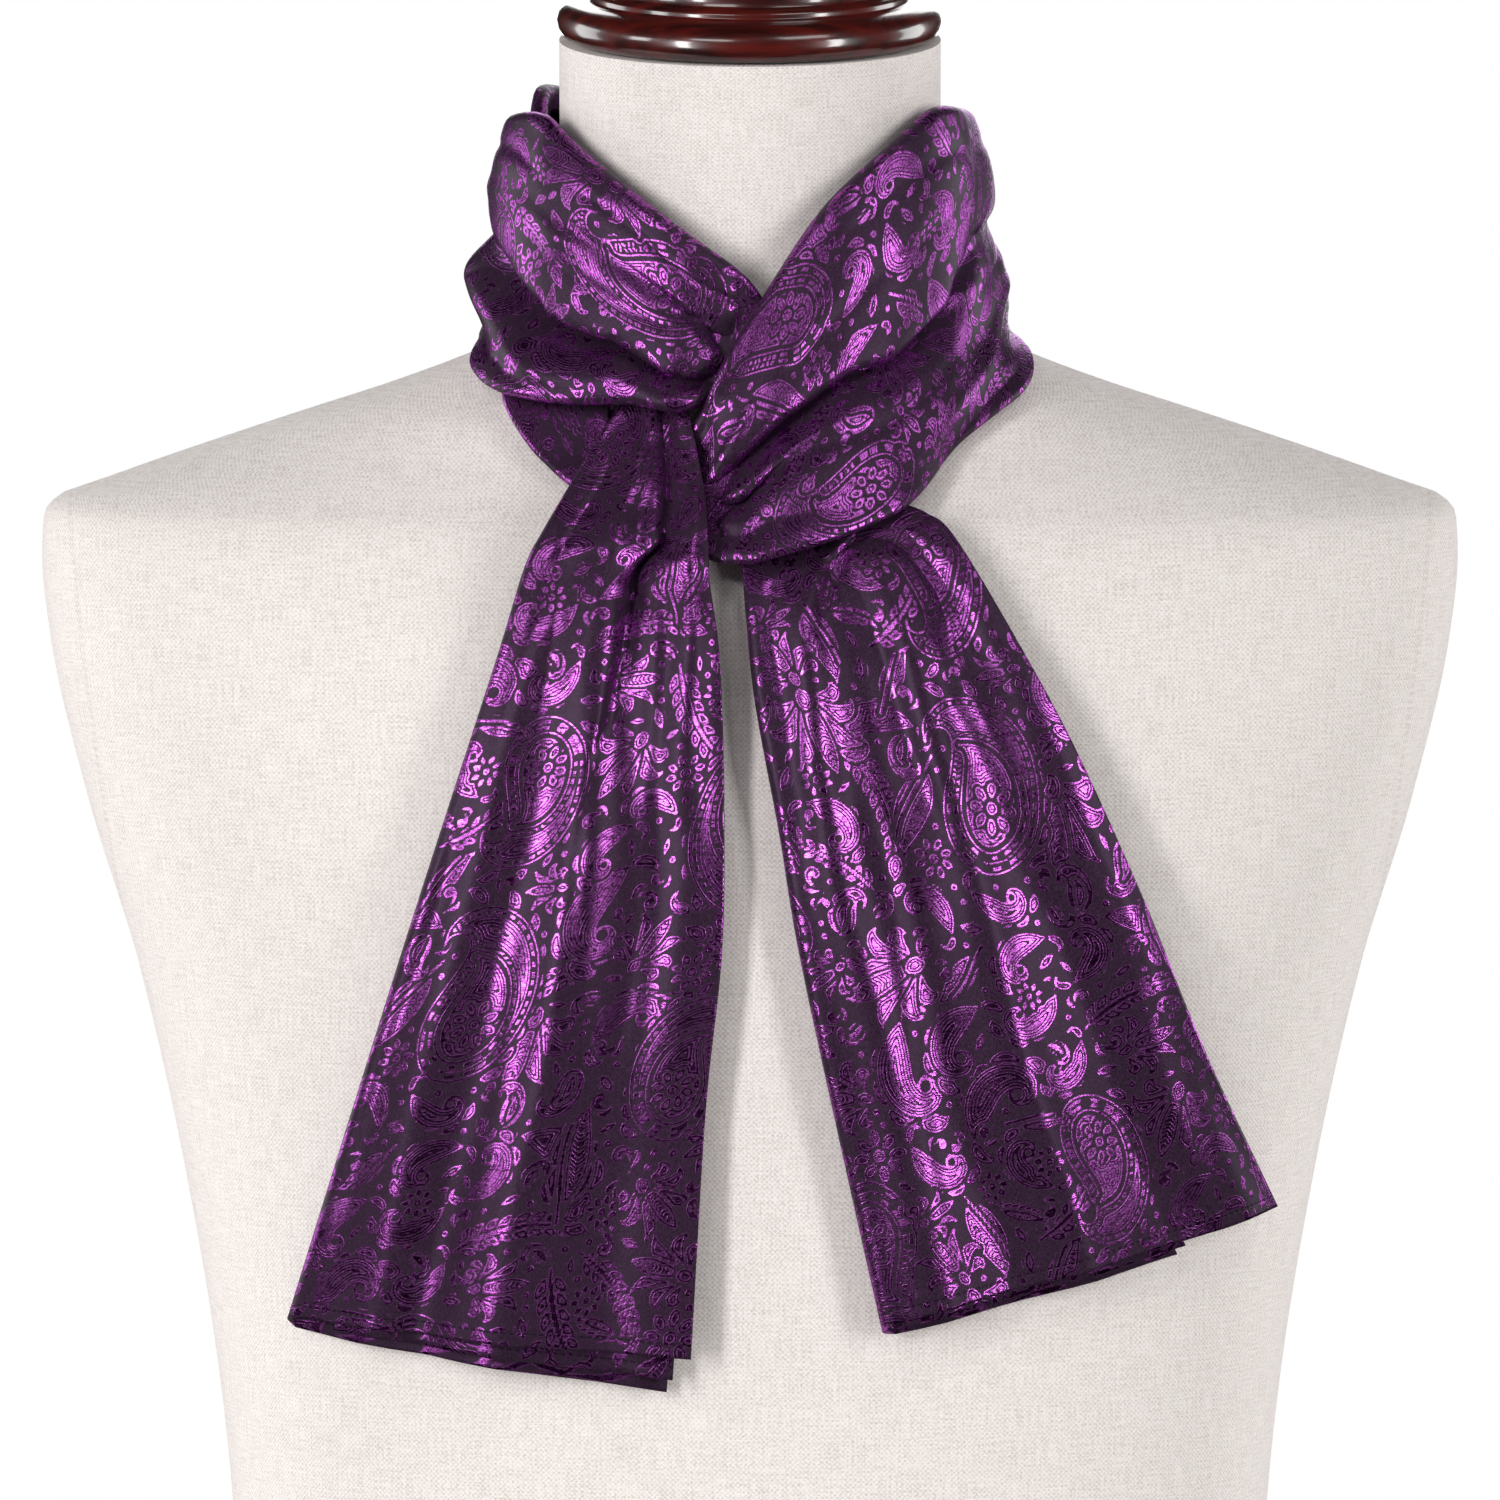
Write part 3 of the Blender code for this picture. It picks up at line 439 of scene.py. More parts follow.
def sprig(at):
    """A bowed stem with pairs of leaves, and a bud at its tip."""
    length, bends = 40.0, (30, 18)
    shares = np.arange(3.0, length, 5.0) / length
    xs, ys, turns = centre_line((0, 0), 0, length, bends, shares)
    for x, y, turn, share in zip(xs, ys, turns, shares):
        for way in (-1, 1):
            bow = (way * -18, way * -12)
            stroke(at, (x, y), turn + way * 42, 8.6 - 3.0 * share, bow, 3.5, 0.55, 0.8, moat=0.8)
    stroke(at, (0, 0), 0, length, bends, 1.5, 0.3, 0.6, moat=0.7)
    x, y, turn = (float(end) for end in centre_line((0, 0), 0, length, bends, 1.0))
    stroke(at, (x, y), turn, 7.5, (0, 0), 4.8, 0.4)


def scroll(at):
    """A leafy scroll: a full comma whose tip winds up, with lobes along its back."""
    bends = (40, 430)
    xs, ys, turns = centre_line((0, 0), 0, 50.0, bends, np.linspace(0.10, 0.52, 4))
    for x, y, turn in zip(xs[::-1], ys[::-1], turns[::-1]):
        stroke(at, (x, y), turn - 38, 15, (40, 90), 6.4, 0.55, 0.9)
    stroke(at, (-1, 0), 165, 12, (-50, -120), 4.0, 0.35)
    stroke(at, (0, 0), 0, 50.0, bends, 10.5, 0.30, 1.7)


def plume(at):
    """A spray of curling plumes from one root."""
    for turn, length, winding in ((74, 15, 210), (44, 20, 150), (20, 24, 60)):
        for way in (1, -1):
            stroke(at, (0, 0), way * turn, length, (way * turn * -0.4, way * winding), 5.6, 0.62, 1.0)
    stroke(at, (0, 0), 0, 25, (0, 0), 6.4, 0.66, 0.8, RUNGS)
    stroke(at, (-3, 0), 0, 6, (0, 0), 5.2, 0.5, 0.5)


def leaf(at):
    """A pointed leaf, veined both sides of its rib."""
    stroke(at, (0, 0), 0, 34, (18, -40), 13, 0.42, 1.0, RUNGS)
    stroke(at, (-6, -1.5), 12, 34, (10, -30), 1.3, 0.3, 0.5, LINES, 1.0)


def drop(at):
    """The great bent drop: beaded rim, lined body, a rosette at its heart and leaves round its back."""
    bends = (8, 205)
    xs, ys, turns = centre_line((0, 0), 0, 66.0, bends, np.linspace(0.05, 0.8, 9))
    for x, y, turn, out in zip(xs, ys, turns, np.linspace(14.5, 6.0, 9)):
        c, s = direction(turn - 90)
        stroke(at, (x + out * c, y + out * s), turn - 50, 8.0, (20, 40), 4.0, 0.5, 0.8)
    stroke(at, (0, 0), 0, 66.0, bends, 31, 0.24, 1.25, BEADS, 1.0)
    stroke(at, (5.5, 0), 4, 34.0, (8, 90), 16.5, 0.30, 1.2, LINES, 1.3)
    x, y, turn, size, hand = at
    c, s = direction(turn)
    rosette((x + size * 15.5 * c, y + size * 15.5 * s, turn + 10, size * 0.9, hand))


def small_drop(at):
    stroke(at, (0, 0), 0, 24, (14, 230), 9.5, 0.27, 1.3)
    stroke(at, (2.2, 0), 0, 10, (10, 60), 3.2, 0.4, 0.8, LINES, 1.0)


def curl(at):
    stroke(at, (0, 0), 0, 28, (50, 430), 3.4, 0.75, 0.7)
    stroke(at, (3, -0.5), -40, 9, (30, 90), 2.8, 0.5, 0.8)


def bud(at):
    for turn in (-35, 35):
        stroke(at, (0, 0), turn, 6.5, (-turn * 0.5, -turn * 0.3), 3.0, 0.5, 0.8)
    stroke(at, (0, 0), 0, 8.0, (0, 0), 3.4, 0.5, 0.8)


def dot(at):
    stroke(at, (0, 0), 0, 0.4, (0, 0), 3.0, 0.5, 0.1)


#   motif, and its places: x  y  turn  size  hand
LAYOUT = [
    (sprig, (60, 0, 100, 1, 1), (146, 84, 120, 1, -1), (18, 116, -75, 0.9, 1), (94, 188, 215, 0.95, -1),
     (66, 94, 15, 0.9, 1), (128, 58, 200, 0.8, 1), (52, 186, 150, 0.85, -1), (148, 132, -60, 0.8, 1)),
    (scroll, (66, 66, 40, 1, 1), (138, 22, 250, 0.95, -1), (78, 150, 170, 1, -1), (2, 172, 60, 1, 1),
     (122, 84, 330, 0.9, 1), (42, 78, 205, 0.9, 1), (64, 122, 250, 0.8, -1), (126, 172, 20, 0.85, 1)),
    (plume, (84, 112, 80, 1, 1), (142, 156, 15, 1, -1), (4, 70, 100, 0.95, -1), (70, 26, 60, 0.85, 1)),
    (leaf, (46, 106, 150, 0.9, 1), (122, 98, 60, 0.85, -1), (62, 172, 265, 0.9, 1), (92, 52, -45, 0.9, -1),
     (146, 40, 100, 0.8, 1)),
    (drop, (24, 30, 62, 1, 1), (112, 128, 240, 1, 1), (104, 22, 112, 0.85, -1), (30, 150, 292, 0.85, -1)),
]
#   room  size  and motifs in turn, each with its own size and how far it is set back: they fill the free
#   places of at least that radius
FILLERS = [
    (10.0, 0.70, ((scroll, 1.0, 11.0), (plume, 1.0, 10.0), (scroll, 0.9, 11.0))),
    (8.2, 0.60, ((leaf, 1.0, 16.0), (rosette, 1.6, 0.0), (scroll, 0.9, 11.0), (small_drop, 1.5, 8.0))),
    (6.4, 0.80, ((small_drop, 1.0, 8.0), (plume, 0.62, 10.0), (leaf, 0.60, 16.0), (rosette, 0.9, 0.0))),
    (5.0, 0.62, ((curl, 1.0, 6.0), (small_drop, 0.9, 8.0), (bud, 1.3, 4.0))),
    (4.2, 0.60, ((curl, 0.9, 6.0), (bud, 1.1, 4.0), (rosette, 0.9, 0.0))),
    (3.1, 0.62, ((bud, 0.9, 4.0), (curl, 0.7, 6.0))),
    (2.4, 0.75, ((dot, 1.0, 0.0),)),
]
FILLER_TURN = 137.5  # degrees from one filler to the next
FILLER_MOST = 150
FREE_DEPTH = -0.6  # of the chart, where a filler may lie
ROOM_MOST = 12  # the widest room that is looked for


def room_left():
    """How far each place of the chart, a millimetre apart, is from any motif."""
    room = np.where(chart[::2, ::2, 0] > FREE_DEPTH, 0.0, 99.0)
    for _ in range(ROOM_MOST):
        for axis in (0, 1):
            for way in (1, -1):
                beside = np.roll(room, way, axis)
                aslant = np.roll(beside, way if axis else -way, 1 - axis)
                room = np.minimum(room, np.minimum(beside + 1.0, aslant + 1.414))
    return room


for motif, *places in LAYOUT:
    for place in places:
        motif(place)
for index in range(FILLER_MOST):
    room = room_left()
    row, column = np.unravel_index(room.argmax(), room.shape)
    fits = [(size, motifs) for least, size, motifs in FILLERS if room[row, column] >= least]
    if not fits:
        break
    size, motifs = fits[0]
    motif, bigger, back = motifs[index % len(motifs)]
    turn = index * FILLER_TURN
    c, s = direction(turn)
    x = column * 2 * CHART_CELL - back * bigger * size * c
    y = row * 2 * CHART_CELL - back * bigger * size * s
    motif((x, y, turn, size * bigger, 1 - 2 * (index % 2)))


def charted(u, v):
    """The chart read at places on the cloth, in millimetres across and along it."""
    column, row = (u / CHART_CELL) % chart.shape[1], (v / CHART_CELL) % chart.shape[0]
    depth = between(np.pad(chart[..., 0], ((0, 1), (0, 1)), mode="wrap"), row, column)
    nearest = chart[np.round(row).astype(int) % chart.shape[0], np.round(column).astype(int) % chart.shape[1]]
    return np.stack([depth, nearest[..., 1], nearest[..., 2]], axis=-1)

# --------------------------------------
# The satin: one jacquard of near-black ground threads and bright purple figure threads that shine like
# metal where they face the light. The figure is lined, beaded or runged inside its outline, and stands a
# little out of the twilled ground.
FIGURE_LINE = 1.00  # from one line of a lined figure to the next
BEAD = 2.0  # and from bead to bead
RUNG = 1.35
RIM = 0.60  # the bright outline
HOLLOW = 0.88  # where the dark gap inside the outline ends
TWILL = 0.62  # from one twill line of the ground to the next
BEAD_BAND = (1.2, 2.3)  # how deep inside a beaded figure its beads lie
BEADED_BODY = 2.9  # and how deep its lined body starts
HEM_STITCH = 3.8  # from the hem to its row of stitches
STITCH = 2.4  # from one stitch to the next
FULL_TURN = 2 * math.pi  # radians
satin, wires, shader = finish("paisley_satin", {
    "Specular IOR Level": 0.19, "Specular Tint": (0.94, 0.66, 1.0, 1)})
depth, along, fill = wires.node("ShaderNodeAttribute", {"attribute_name": "figure"}, None, "Vector").split()
threads = wires.node("ShaderNodeAttribute", {"attribute_name": "threads"}, None, "Vector")
across, down, from_hem = threads.split()
lined = ((depth - HOLLOW) * (FULL_TURN / FIGURE_LINE) - 1.2).maths("COSINE").past(-0.62, 0.3)
beads = (along * (FULL_TURN / BEAD)).sine().past(-0.1, 0.4)
band = depth.past(BEAD_BAND[0], 0.1) * (1.0 - depth.past(BEAD_BAND[1], 0.1))
beaded = band * beads + depth.past(BEADED_BODY, 0.1) * lined
runged = ((along + depth * 0.9) * (FULL_TURN / RUNG)).sine().past(-0.6, 0.35)
is_rung = fill.past(0.75, 0.05)
is_bead = fill.past(0.25, 0.05) - is_rung
inner = lined * (1.0 - is_bead - is_rung) + beaded * is_bead + runged * is_rung
rim = 1.0 - depth.past(RIM, 0.12)
drawn = depth.past(0.02, 0.12) * rim.most(depth.past(HOLLOW, 0.12) * inner)
twill = ((across * 0.8 + down) * (FULL_TURN / TWILL)).sine()
floats = stretched(threads, 0.7, 2.6).noise(1.0, 1.0)
speck = stretched(threads, 2.2, 0.8).noise(1.0, 1.0)
cloud = stretched(threads, 0.05, 0.05).noise(1.0, 1.0)
stitch_row = 1.0 - (from_hem - HEM_STITCH).size().past(0.32, 0.12)
stitched = stitch_row * (across * (FULL_TURN / STITCH)).sine().past(-0.3, 0.3)
ground = wires.colour(0.0165, 0.0070, 0.0165)
ground_lit = wires.colour(0.0520, 0.0245, 0.0540)
purple = wires.colour(0.39, 0.096, 0.425)
purple_deep = wires.colour(0.082, 0.007, 0.086)
ground_tone = ground.mixed((twill * 0.20 + speck).past(0.60, 0.28), ground_lit)
purple_tone = purple_deep.mixed((floats + speck * 0.5 + cloud * 0.4).past(0.90, 0.16), purple)
thread_tone = wires.colour(0.012, 0.004, 0.014)
plug(shader, "Base Color", ground_tone.mixed(drawn, purple_tone).mixed(stitched * 0.8, thread_tone))
plug(shader, "Metallic", drawn)
plug(shader, "Roughness", 0.38 - drawn * 0.14 + speck * 0.07)
raised = drawn * 0.07 + twill * 0.010 + floats * drawn * 0.018 - stitched * 0.25
plug(shader, "Normal", raised.node("ShaderNodeBump", None, {
    "Height": raised, "Strength": 0.7, "Distance": METRES}))

# --------------------------------------
# The scarf's shape: one long rectangle of that satin, folded in width, laid double round the neck and
# pulled through its own loop. Each stretch that shows is worked out from a table of its sections, laid
# over what it crosses, and creased along the lines of its fold table.
CLOTH = 1.2  # wall of a stretch: satin with its turned lining
CLEAR = 0.9  # least air between the cloth's wall and the form
#   height  radius_x  radius_y
COLLAR_CORE = [
    (470, 110, 124),
    (500, 101, 109),
    (520, 93, 92),
    (540, 84, 80.5),
    (560, 75, 73),
    (580, 68.5, 68),
    (600, 64.5, 67),
    (620, 62.5, 66.5),
    (650, 61.5, 66),
]
CORE_Y = 8.0  # the core's middle
CORE_BLEND = 3.0  # how softly the core passes into the form where that is wider
# turns are in degrees from the front, and offs lie out of the core
#   turn_top  top_z  top_off  turn_low  low_z  low_off  belly
COLLAR_RIGHT = [
    (-15, 537, 2.6, -13.5, 509, 1.6, 0),
    (-9.5, 547, 6, -6, 502.5, 3, 0.5),
    (-4.6, 563.5, 12, -1, 501.5, 7.5, 2),
    (4.1, 583, 9, 3.7, 503.5, 10, 5),
    (16.9, 606, 7, 16.6, 511, 10, 7),
    (30.5, 621, 7, 28, 520, 9, 8),
    (54.3, 638, 6.5, 41, 535.5, 6, 9),
    (76, 639, 6, 57, 548.5, 2.6, 9.5),
    (98, 638, 7.5, 84, 566.5, 2.6, 8.5),
    (125, 637, 10, 120, 571.5, 6.5, 5),
    (150, 637, 10, 148, 578.5, 8.5, 3),
    (174, 638.5, 9.5, 174, 592.5, 10.5, 1),
    (200, 640.5, 7, 200, 605.5, 7.5, 0),
    (226, 643, 5.8, 226, 612, 5.8, 0),
    (248, 646, 5.8, 248, 616, 5.8, 0),
    (264, 645, 5.8, 264, 616, 5.8, 0),
    (280, 635, 5.8, 280, 612, 5.8, 0),
]
COLLAR_LEFT = [
    (5, 576, 2.4, 0.5, 556, 2.4, 0),
    (-1, 587, 4, -6, 552, 3.6, 0),
    (-13.2, 598.4, 7, -14, 547, 12, 2),
    (-30.7, 613.3, 7, -24, 549, 12.5, 4),
    (-51.8, 628.6, 8, -37, 549, 11, 6.5),
    (-67, 637, 9, -52, 552.5, 8, 8.5),
    (-88, 637, 11.5, -78, 565.5, 7.5, 9),
    (-108, 634.5, 14.5, -104, 568.5, 10, 6),
    (-130, 627, 14.5, -130, 565, 11, 4),
    (-150, 615, 14, -150, 560, 12, 3),
    (-170, 595, 9.5, -170, 558, 11, 2),
    (-190, 588.5, 3.6, -190, 557, 6, 1),
    (-214, 587, 2.6, -216, 560, 4, 0),
    (-240, 588, 2.6, -244, 568, 3, 0),
    (-264, 592, 2.6, -268, 573, 2.6, 0),
    (-286, 590, 2.6, -286, 573, 2.6, 0),
]
COLLAR_UNDER = [
    (-70, 590, 3.8, -67, 566, 5, 0),
    (-62, 582, 3.8, -55, 552, 5.6, 0),
    (-54, 573, 4, -46.5, 540, 6.4, 0),
    (-43, 560, 4, -35.5, 524.5, 6.4, 0),
    (-31, 547, 4, -25.5, 514.5, 5, 0),
]
#   left_x  left_z  right_x  right_z  left_off  right_off  fold_radius
TAIL_LEFT = [
    (-38, 550, -20, 548.5, 7.5, 7.5, 1.6),
    (-45, 540.5, -17.2, 539, 9, 9.5, 1.6),
    (-52.7, 527.7, -14.1, 522.5, 13, 14, 1.8),
    (-62.5, 511.2, -12.8, 506, 14, 14.5, 2),
    (-68.2, 500.1, -12.5, 496.4, 12, 13, 2.3),
    (-76, 474.7, -9.1, 471.3, 9.8, 10.5, 2.4),
    (-91.7, 426.6, -7.9, 430.4, 8.4, 8.4, 2.5),
    (-105.6, 384, -8.5, 385.1, 8.4, 8.4, 2.5),
    (-122.6, 330.9, -13.4, 336.3, 8.4, 8.4, 2.6),
    (-142.5, 268.4, -18, 259.5, 9.4, 9.8, 3),
]
TAIL_RIGHT = [
    (-3.7, 517, 38, 522, 3.7, 3.7, 1.3),
    (-3.1, 508, 45, 519, 4.2, 3.8, 1.4),
    (-1.8, 498.5, 54, 515.5, 6.5, 5, 1.6),
    (-0.6, 484, 63.2, 507.7, 8.4, 8.2, 2.3),
    (2.1, 459.5, 84.2, 472.5, 8.4, 8.4, 2.5),
    (9.4, 420.5, 100.3, 442, 8.4, 8.4, 2.5),
    (15.5, 384.5, 119.7, 399, 8.4, 8.4, 2.5),
    (29.2, 321.4, 139.1, 351.4, 8.4, 8.4, 2.6),
    (40.8, 270, 163.1, 300, 9.4, 9.8, 3),
]
#   tail  back_reach  back_drop_left  back_drop_right  inner_start  inner_end  inner_drop_left  .._right
TAIL_PLIES = {
    "left": (0.94, 4.5, 12.0, 0.12, 0.955, 2.0, 7.5),
    "right": (0.74, 4.5, 4.5, 0.06, 0.76, 2.5, 2.0),
}
BACK_WIDENS = (2.0, 5.0)  # sections from which to which the ply behind grows to its full width
INNER_STARTS = 5.0  # section where the ply folded inside starts
#   each line's points: section  across  depth  half_width  overhang, and a last point of the first three
#   a crease's points have no overhang: creases add up, where of folds the highest and the deepest count
FOLDS = {
    "collar_right": [
        ((0.5, 0.6, -5, 0.06, 0), (2.4, 0.55, -8, 0.065, 3), (3.5, 0.53, -9, 0.07, 5),
         (5, 0.58, -8.5, 0.075, 5.5), (6, 0.6, -6.5, 0.08, 3.5), (6.9, 0.44, -4.5, 0.09, 2),
         (10.5, 0.55, -2)),
        ((0.9, 0.7, -4, 0.045, 0), (2.1, 0.73, -6, 0.045, 1.5), (3.4, 0.67, -1.5)),
        ((3, 0.24, 2, 0.16, 0), (6.5, 0.2, 1.5)),
        ((1, 0.86, -2.2, 0.045, 0), (3.2, 0.88, -1.2)),
        ((3.4, 0.8, 2.6, 0.12, 0), (7, 0.86, 2.2)),
        ((10, 0.3, -1.5, 0.08, 0), (15, 0.45, -1.5)),
        ((9, 0.72, 2, 0.12, 0), (14, 0.66, 1.5)),
        ((3, 0.36, -1, 0.035), (6.2, 0.3, -0.7)),
        ((4.2, 0.12, -0.7, 0.03), (7.6, 0.14, -0.9)),
        ((3.3, 0.7, -1.1, 0.03), (5.6, 0.76, -0.8)),
        ((5.4, 0.9, 0.9, 0.035), (7.8, 0.74, 1)),
        ((1.6, 0.42, 0.9, 0.035), (3.2, 0.34, 0.8)),
        ((7.5, 0.62, -0.9, 0.035), (12, 0.34, -0.8)),
        ((8.5, 0.18, 0.8, 0.04), (13, 0.26, 0.9)),
        ((11, 0.8, -0.8, 0.035), (15.5, 0.72, -0.7)),
    ],
    "collar_left": [
        ((0.8, 0.64, -4, 0.06, 1.5), (2, 0.45, -3.6, 0.065, 2.5), (3.7, 0.3, -0.6)),
        ((0.9, 0.86, -4, 0.06, 2), (2.4, 0.8, -6, 0.075, 5), (3.5, 0.74, -8.5, 0.085, 6.5),
         (4.4, 0.7, -8, 0.09, 5), (5.5, 0.57, -4.4, 0.1, 1.5), (8.8, 0.4, -1.5)),
        ((2.8, 0.92, 1, 0.085, 0), (4.2, 0.88, 4.4, 0.09, 0), (5.2, 0.81, 5.4, 0.1, 0),
         (6.2, 0.72, 6.5, 0.13, 0), (9, 0.66, 2)),
        ((1.5, 0.94, 1.2, 0.06, 0), (4.2, 0.92, 2)),
        ((3, 0.1, 1, 0.12, 0), (5.5, 0.22, 1.8)),
        ((9, 0.45, -1.8, 0.08, 0), (13, 0.55, -1.2)),
        ((1.4, 0.24, -0.8, 0.03), (3.4, 0.14, -0.6)),
        ((2.6, 0.56, -0.9, 0.035), (4.4, 0.46, -0.8)),
        ((4, 0.36, 0.9, 0.04), (6.2, 0.3, 0.8)),
        ((4.8, 0.16, -0.8, 0.03), (7.2, 0.1, -0.7)),
        ((4.4, 0.94, -0.9, 0.03), (6.4, 0.88, -1)),
        ((6.4, 0.52, -0.9, 0.035), (9.5, 0.62, -0.9)),
        ((8, 0.24, 0.9, 0.04), (12, 0.3, 0.7)),
    ],
    "collar_under": [
        ((0, 0.55, -1.5, 0.14, 0), (4, 0.5, -1.5)),
        ((0.5, 0.86, 1.2, 0.08, 0), (3.6, 0.82, 1.6)),
        ((0.5, 0.3, -0.6, 0.05), (3.5, 0.36, -0.6)),
    ],
    "tail_left": [
        ((-0.3, 0.66, -4, 0.1, 0), (1.8, 0.71, -5, 0.085, 2.5), (3, 0.71, -5.5)),
        ((3, 0.71, -6.5, 0.075, 4), (4.2, 0.58, -7, 0.075, 3), (5.3, 0.53, -3.5)),
        ((5.3, 0.53, -3, 0.11, 0), (6.4, 0.6, 0)),
        ((2.4, 0.91, 3.5, 0.08, 0), (5.6, 0.86, 4.5, 0.09, 0), (8, 0.9, 0.8)),
        ((1.6, 0.42, 3, 0.1, 0), (5, 0.41, 5, 0.1, 0), (6.4, 0.53, 5.5, 0.105, 0), (9.3, 0.52, 5)),
        ((5.2, 0.14, 1.5, 0.07, 0), (9.3, 0.2, 3.4)),
        ((6, 0.3, -0.8, 0.07, 0), (9.3, 0.34, -2.4)),
        ((7, 0.74, -1, 0.08, 0), (9.3, 0.78, -2.4)),
        ((2.2, 0.2, -0.9, 0.035), (5.4, 0.12, -0.6)),
        ((2.6, 0.56, -0.9, 0.04), (4.6, 0.46, -0.5)),
        ((4.8, 0.7, 0.8, 0.035), (7.8, 0.76, 0.6)),
        ((5.6, 0.48, -0.7, 0.03), (9.3, 0.62, -0.8)),
        ((6.6, 0.06, -0.6, 0.03), (9.3, 0.08, -0.7)),
        ((7.4, 0.4, 0.6, 0.03), (9.3, 0.42, 0.7)),
    ],
    "tail_right": [
        ((1.9, 0.66, -2, 0.06, 1.5), (2.7, 0.41, -4, 0.06, 1), (3.3, 0.32, -0.5)),
        ((2.1, 0.71, -3, 0.06, 1), (3.4, 0.84, -4, 0.06, 0), (4.1, 0.71, -0.6)),
        ((2, 0.55, 3, 0.075, 0), (3.1, 0.24, 4, 0.07, 0), (4.6, 0.16, 4.6, 0.07, 0), (8.3, 0.14, 4.2)),
        ((2.9, 0.62, 2.4, 0.075, 0), (3.8, 0.61, 4.6, 0.075, 0), (5.4, 0.54, 5, 0.075, 0),
         (8.3, 0.5, 4.4)),
        ((4.2, 0.93, 2.6, 0.07, 0), (8.3, 0.9, 4.6)),
        ((4, 0.38, -1.6, 0.065, 0), (8.3, 0.32, -2.6)),
        ((4.6, 0.75, -1.6, 0.065, 0), (8.3, 0.71, -2.6)),
        ((2.4, 0.14, -0.8, 0.035), (4.4, 0.08, -0.5)),
        ((2.8, 0.5, -0.9, 0.035), (5, 0.5, -0.5)),
        ((3.6, 0.7, 0.8, 0.035), (5.4, 0.74, 0.6)),
        ((5, 0.92, -0.7, 0.03), (8.3, 0.9, -0.8)),
        ((5.4, 0.3, 0.7, 0.03), (8.3, 0.16, 0.7)),
        ((6.2, 0.52, -0.6, 0.028), (8.3, 0.46, -0.7)),
    ],
}
COARSE_CELLS = 16  # cells across, where one stretch is laid over another
TAIL_STEPS = 2  # the same along a tail, to each of its sections
COLLAR_EDGE = 2.4  # radius of the upper collars' folded edges
COLLAR_RETURN = 6.0  # how far the cloth runs on behind a folded edge
UNDER_EDGE = 2.6
EDGE_ROOM = 2.8  # least depth from a stretch's face to the cloth behind its folded edges
MIDDLE_RADIUS = 80.0  # of the neck, for a collar's width
EDGE_SHARE = 0.03  # of a tail's width, taken by its fold
NARROW_BACK = 0.2  # of a tail's width, for the ply behind inside the knot
BACK_MARGIN = 0.06  # of a tail's width past that ply, which is lifted with it
INNER_PLY = 0.47  # between the front ply (0) and the back one (1)
THREE_PLIES = 2.1  # least fold radius that three plies hang in
FOLD_FADE = 0.45  # sections over which a fold runs out
WANDER = 0.010  # how far folds stray from a straight line, across
WANDER_PACE = 2.9  # radians of that to a section
WANDER_SHIFT = 9.0
LIP_ABOVE = 1.25  # where the cloth hangs lowest over a trough, and how wide, in its half widths
LIP_SPREAD = 0.8
HANG_SPAN = 75.0  # width of cloth that overhangs are shares of
#   height  turn to a section  turn across  shift
PUCKERS = [
    (0.22, 3.1, 11.0, 0.4),
    (0.16, -4.7, 17.0, 2.1),
    (0.14, 6.3, 7.0, 4.0),
]
TRIAL_STATIONS = 400  # along a stretch, to measure its length
BACK_CELL = 3.0  # least cell of the ply behind, which hardly shows
INNER_WIDTH = 100.0  # about, of the ply folded inside
CROSSING = 190.0  # turn where the left stretch passes from under to over the right one
KNOT_TURN = 15.0  # turn left of which the left stretch is out of the knot
EASE_TURN = 12.0  # degrees in which a stretch comes to lie on another one
EASE_PASSES = 2  # of smoothing, where it is lifted by it
REACH = 60.0  # how far out walls are looked for
LAYER_AIR = 1.3  # between stretches that lie on each other
OUTWARD_PASSES = 6
OUTWARD_MOST = 6.0  # in one pass


def along_sections(rows, station):
    """A table's columns, read at any station along its rows (0 is the first) through Catmull-Rom curves."""
    rows = np.array(rows, dtype=float)
    ends = np.vstack([2 * rows[0] - rows[1], rows, 2 * rows[-1] - rows[-2]])
    cell = np.clip(np.floor(station).astype(int), 0, len(rows) - 2)
    t = (station - cell)[..., None]
    a, b, c, d = ends[cell], ends[cell + 1], ends[cell + 2], ends[cell + 3]
    cubic = (2 * a - 5 * b + 4 * c - d) * t ** 2 + (3 * b - a - 3 * c + d) * t ** 3
    return np.moveaxis(0.5 * (2 * b + (c - a) * t + cubic), -1, 0)


def relief(name, station, across):
    """Height of the folds over the plain cloth (the highest ridge, the deepest trough and all the creases),
    and how far the cloth above each trough hangs down over it, as a share of the width."""
    ridge = trough = hang = creased = np.zeros(np.broadcast(station, across).shape)
    for points in FOLDS[name]:
        for here, there in zip(points, points[1:]):
            start, start_across, start_depth, half_width, *overhang = here
            end, end_across, end_depth = there[:3]
            t = np.clip((station - start) / (end - start), 0.0, 1.0)
            beyond = np.maximum(start - station, station - end).clip(0.0)
            line = blend(start_across, end_across, t)
            line = line + WANDER * np.sin(WANDER_PACE * station + WANDER_SHIFT * start_across)
            fade = np.exp(-(beyond / FOLD_FADE) ** 2)
            depth = blend(start_depth, end_depth, t) * fade
            height = depth * np.exp(-((across - line) / half_width) ** 2)
            if not overhang:
                creased = creased + height
                continue
            ridge = np.maximum(ridge, height)
            trough = np.minimum(trough, height)
            lip = np.exp(-((across - line + half_width * LIP_ABOVE) / (half_width * LIP_SPREAD)) ** 2)
            hang = np.maximum(hang, overhang[0] * fade * lip)
    for height, pace, sway, shift in PUCKERS:
        creased = creased + height * np.sin(pace * station + sway * across + shift)
    return ridge + trough + creased, hang / HANG_SPAN


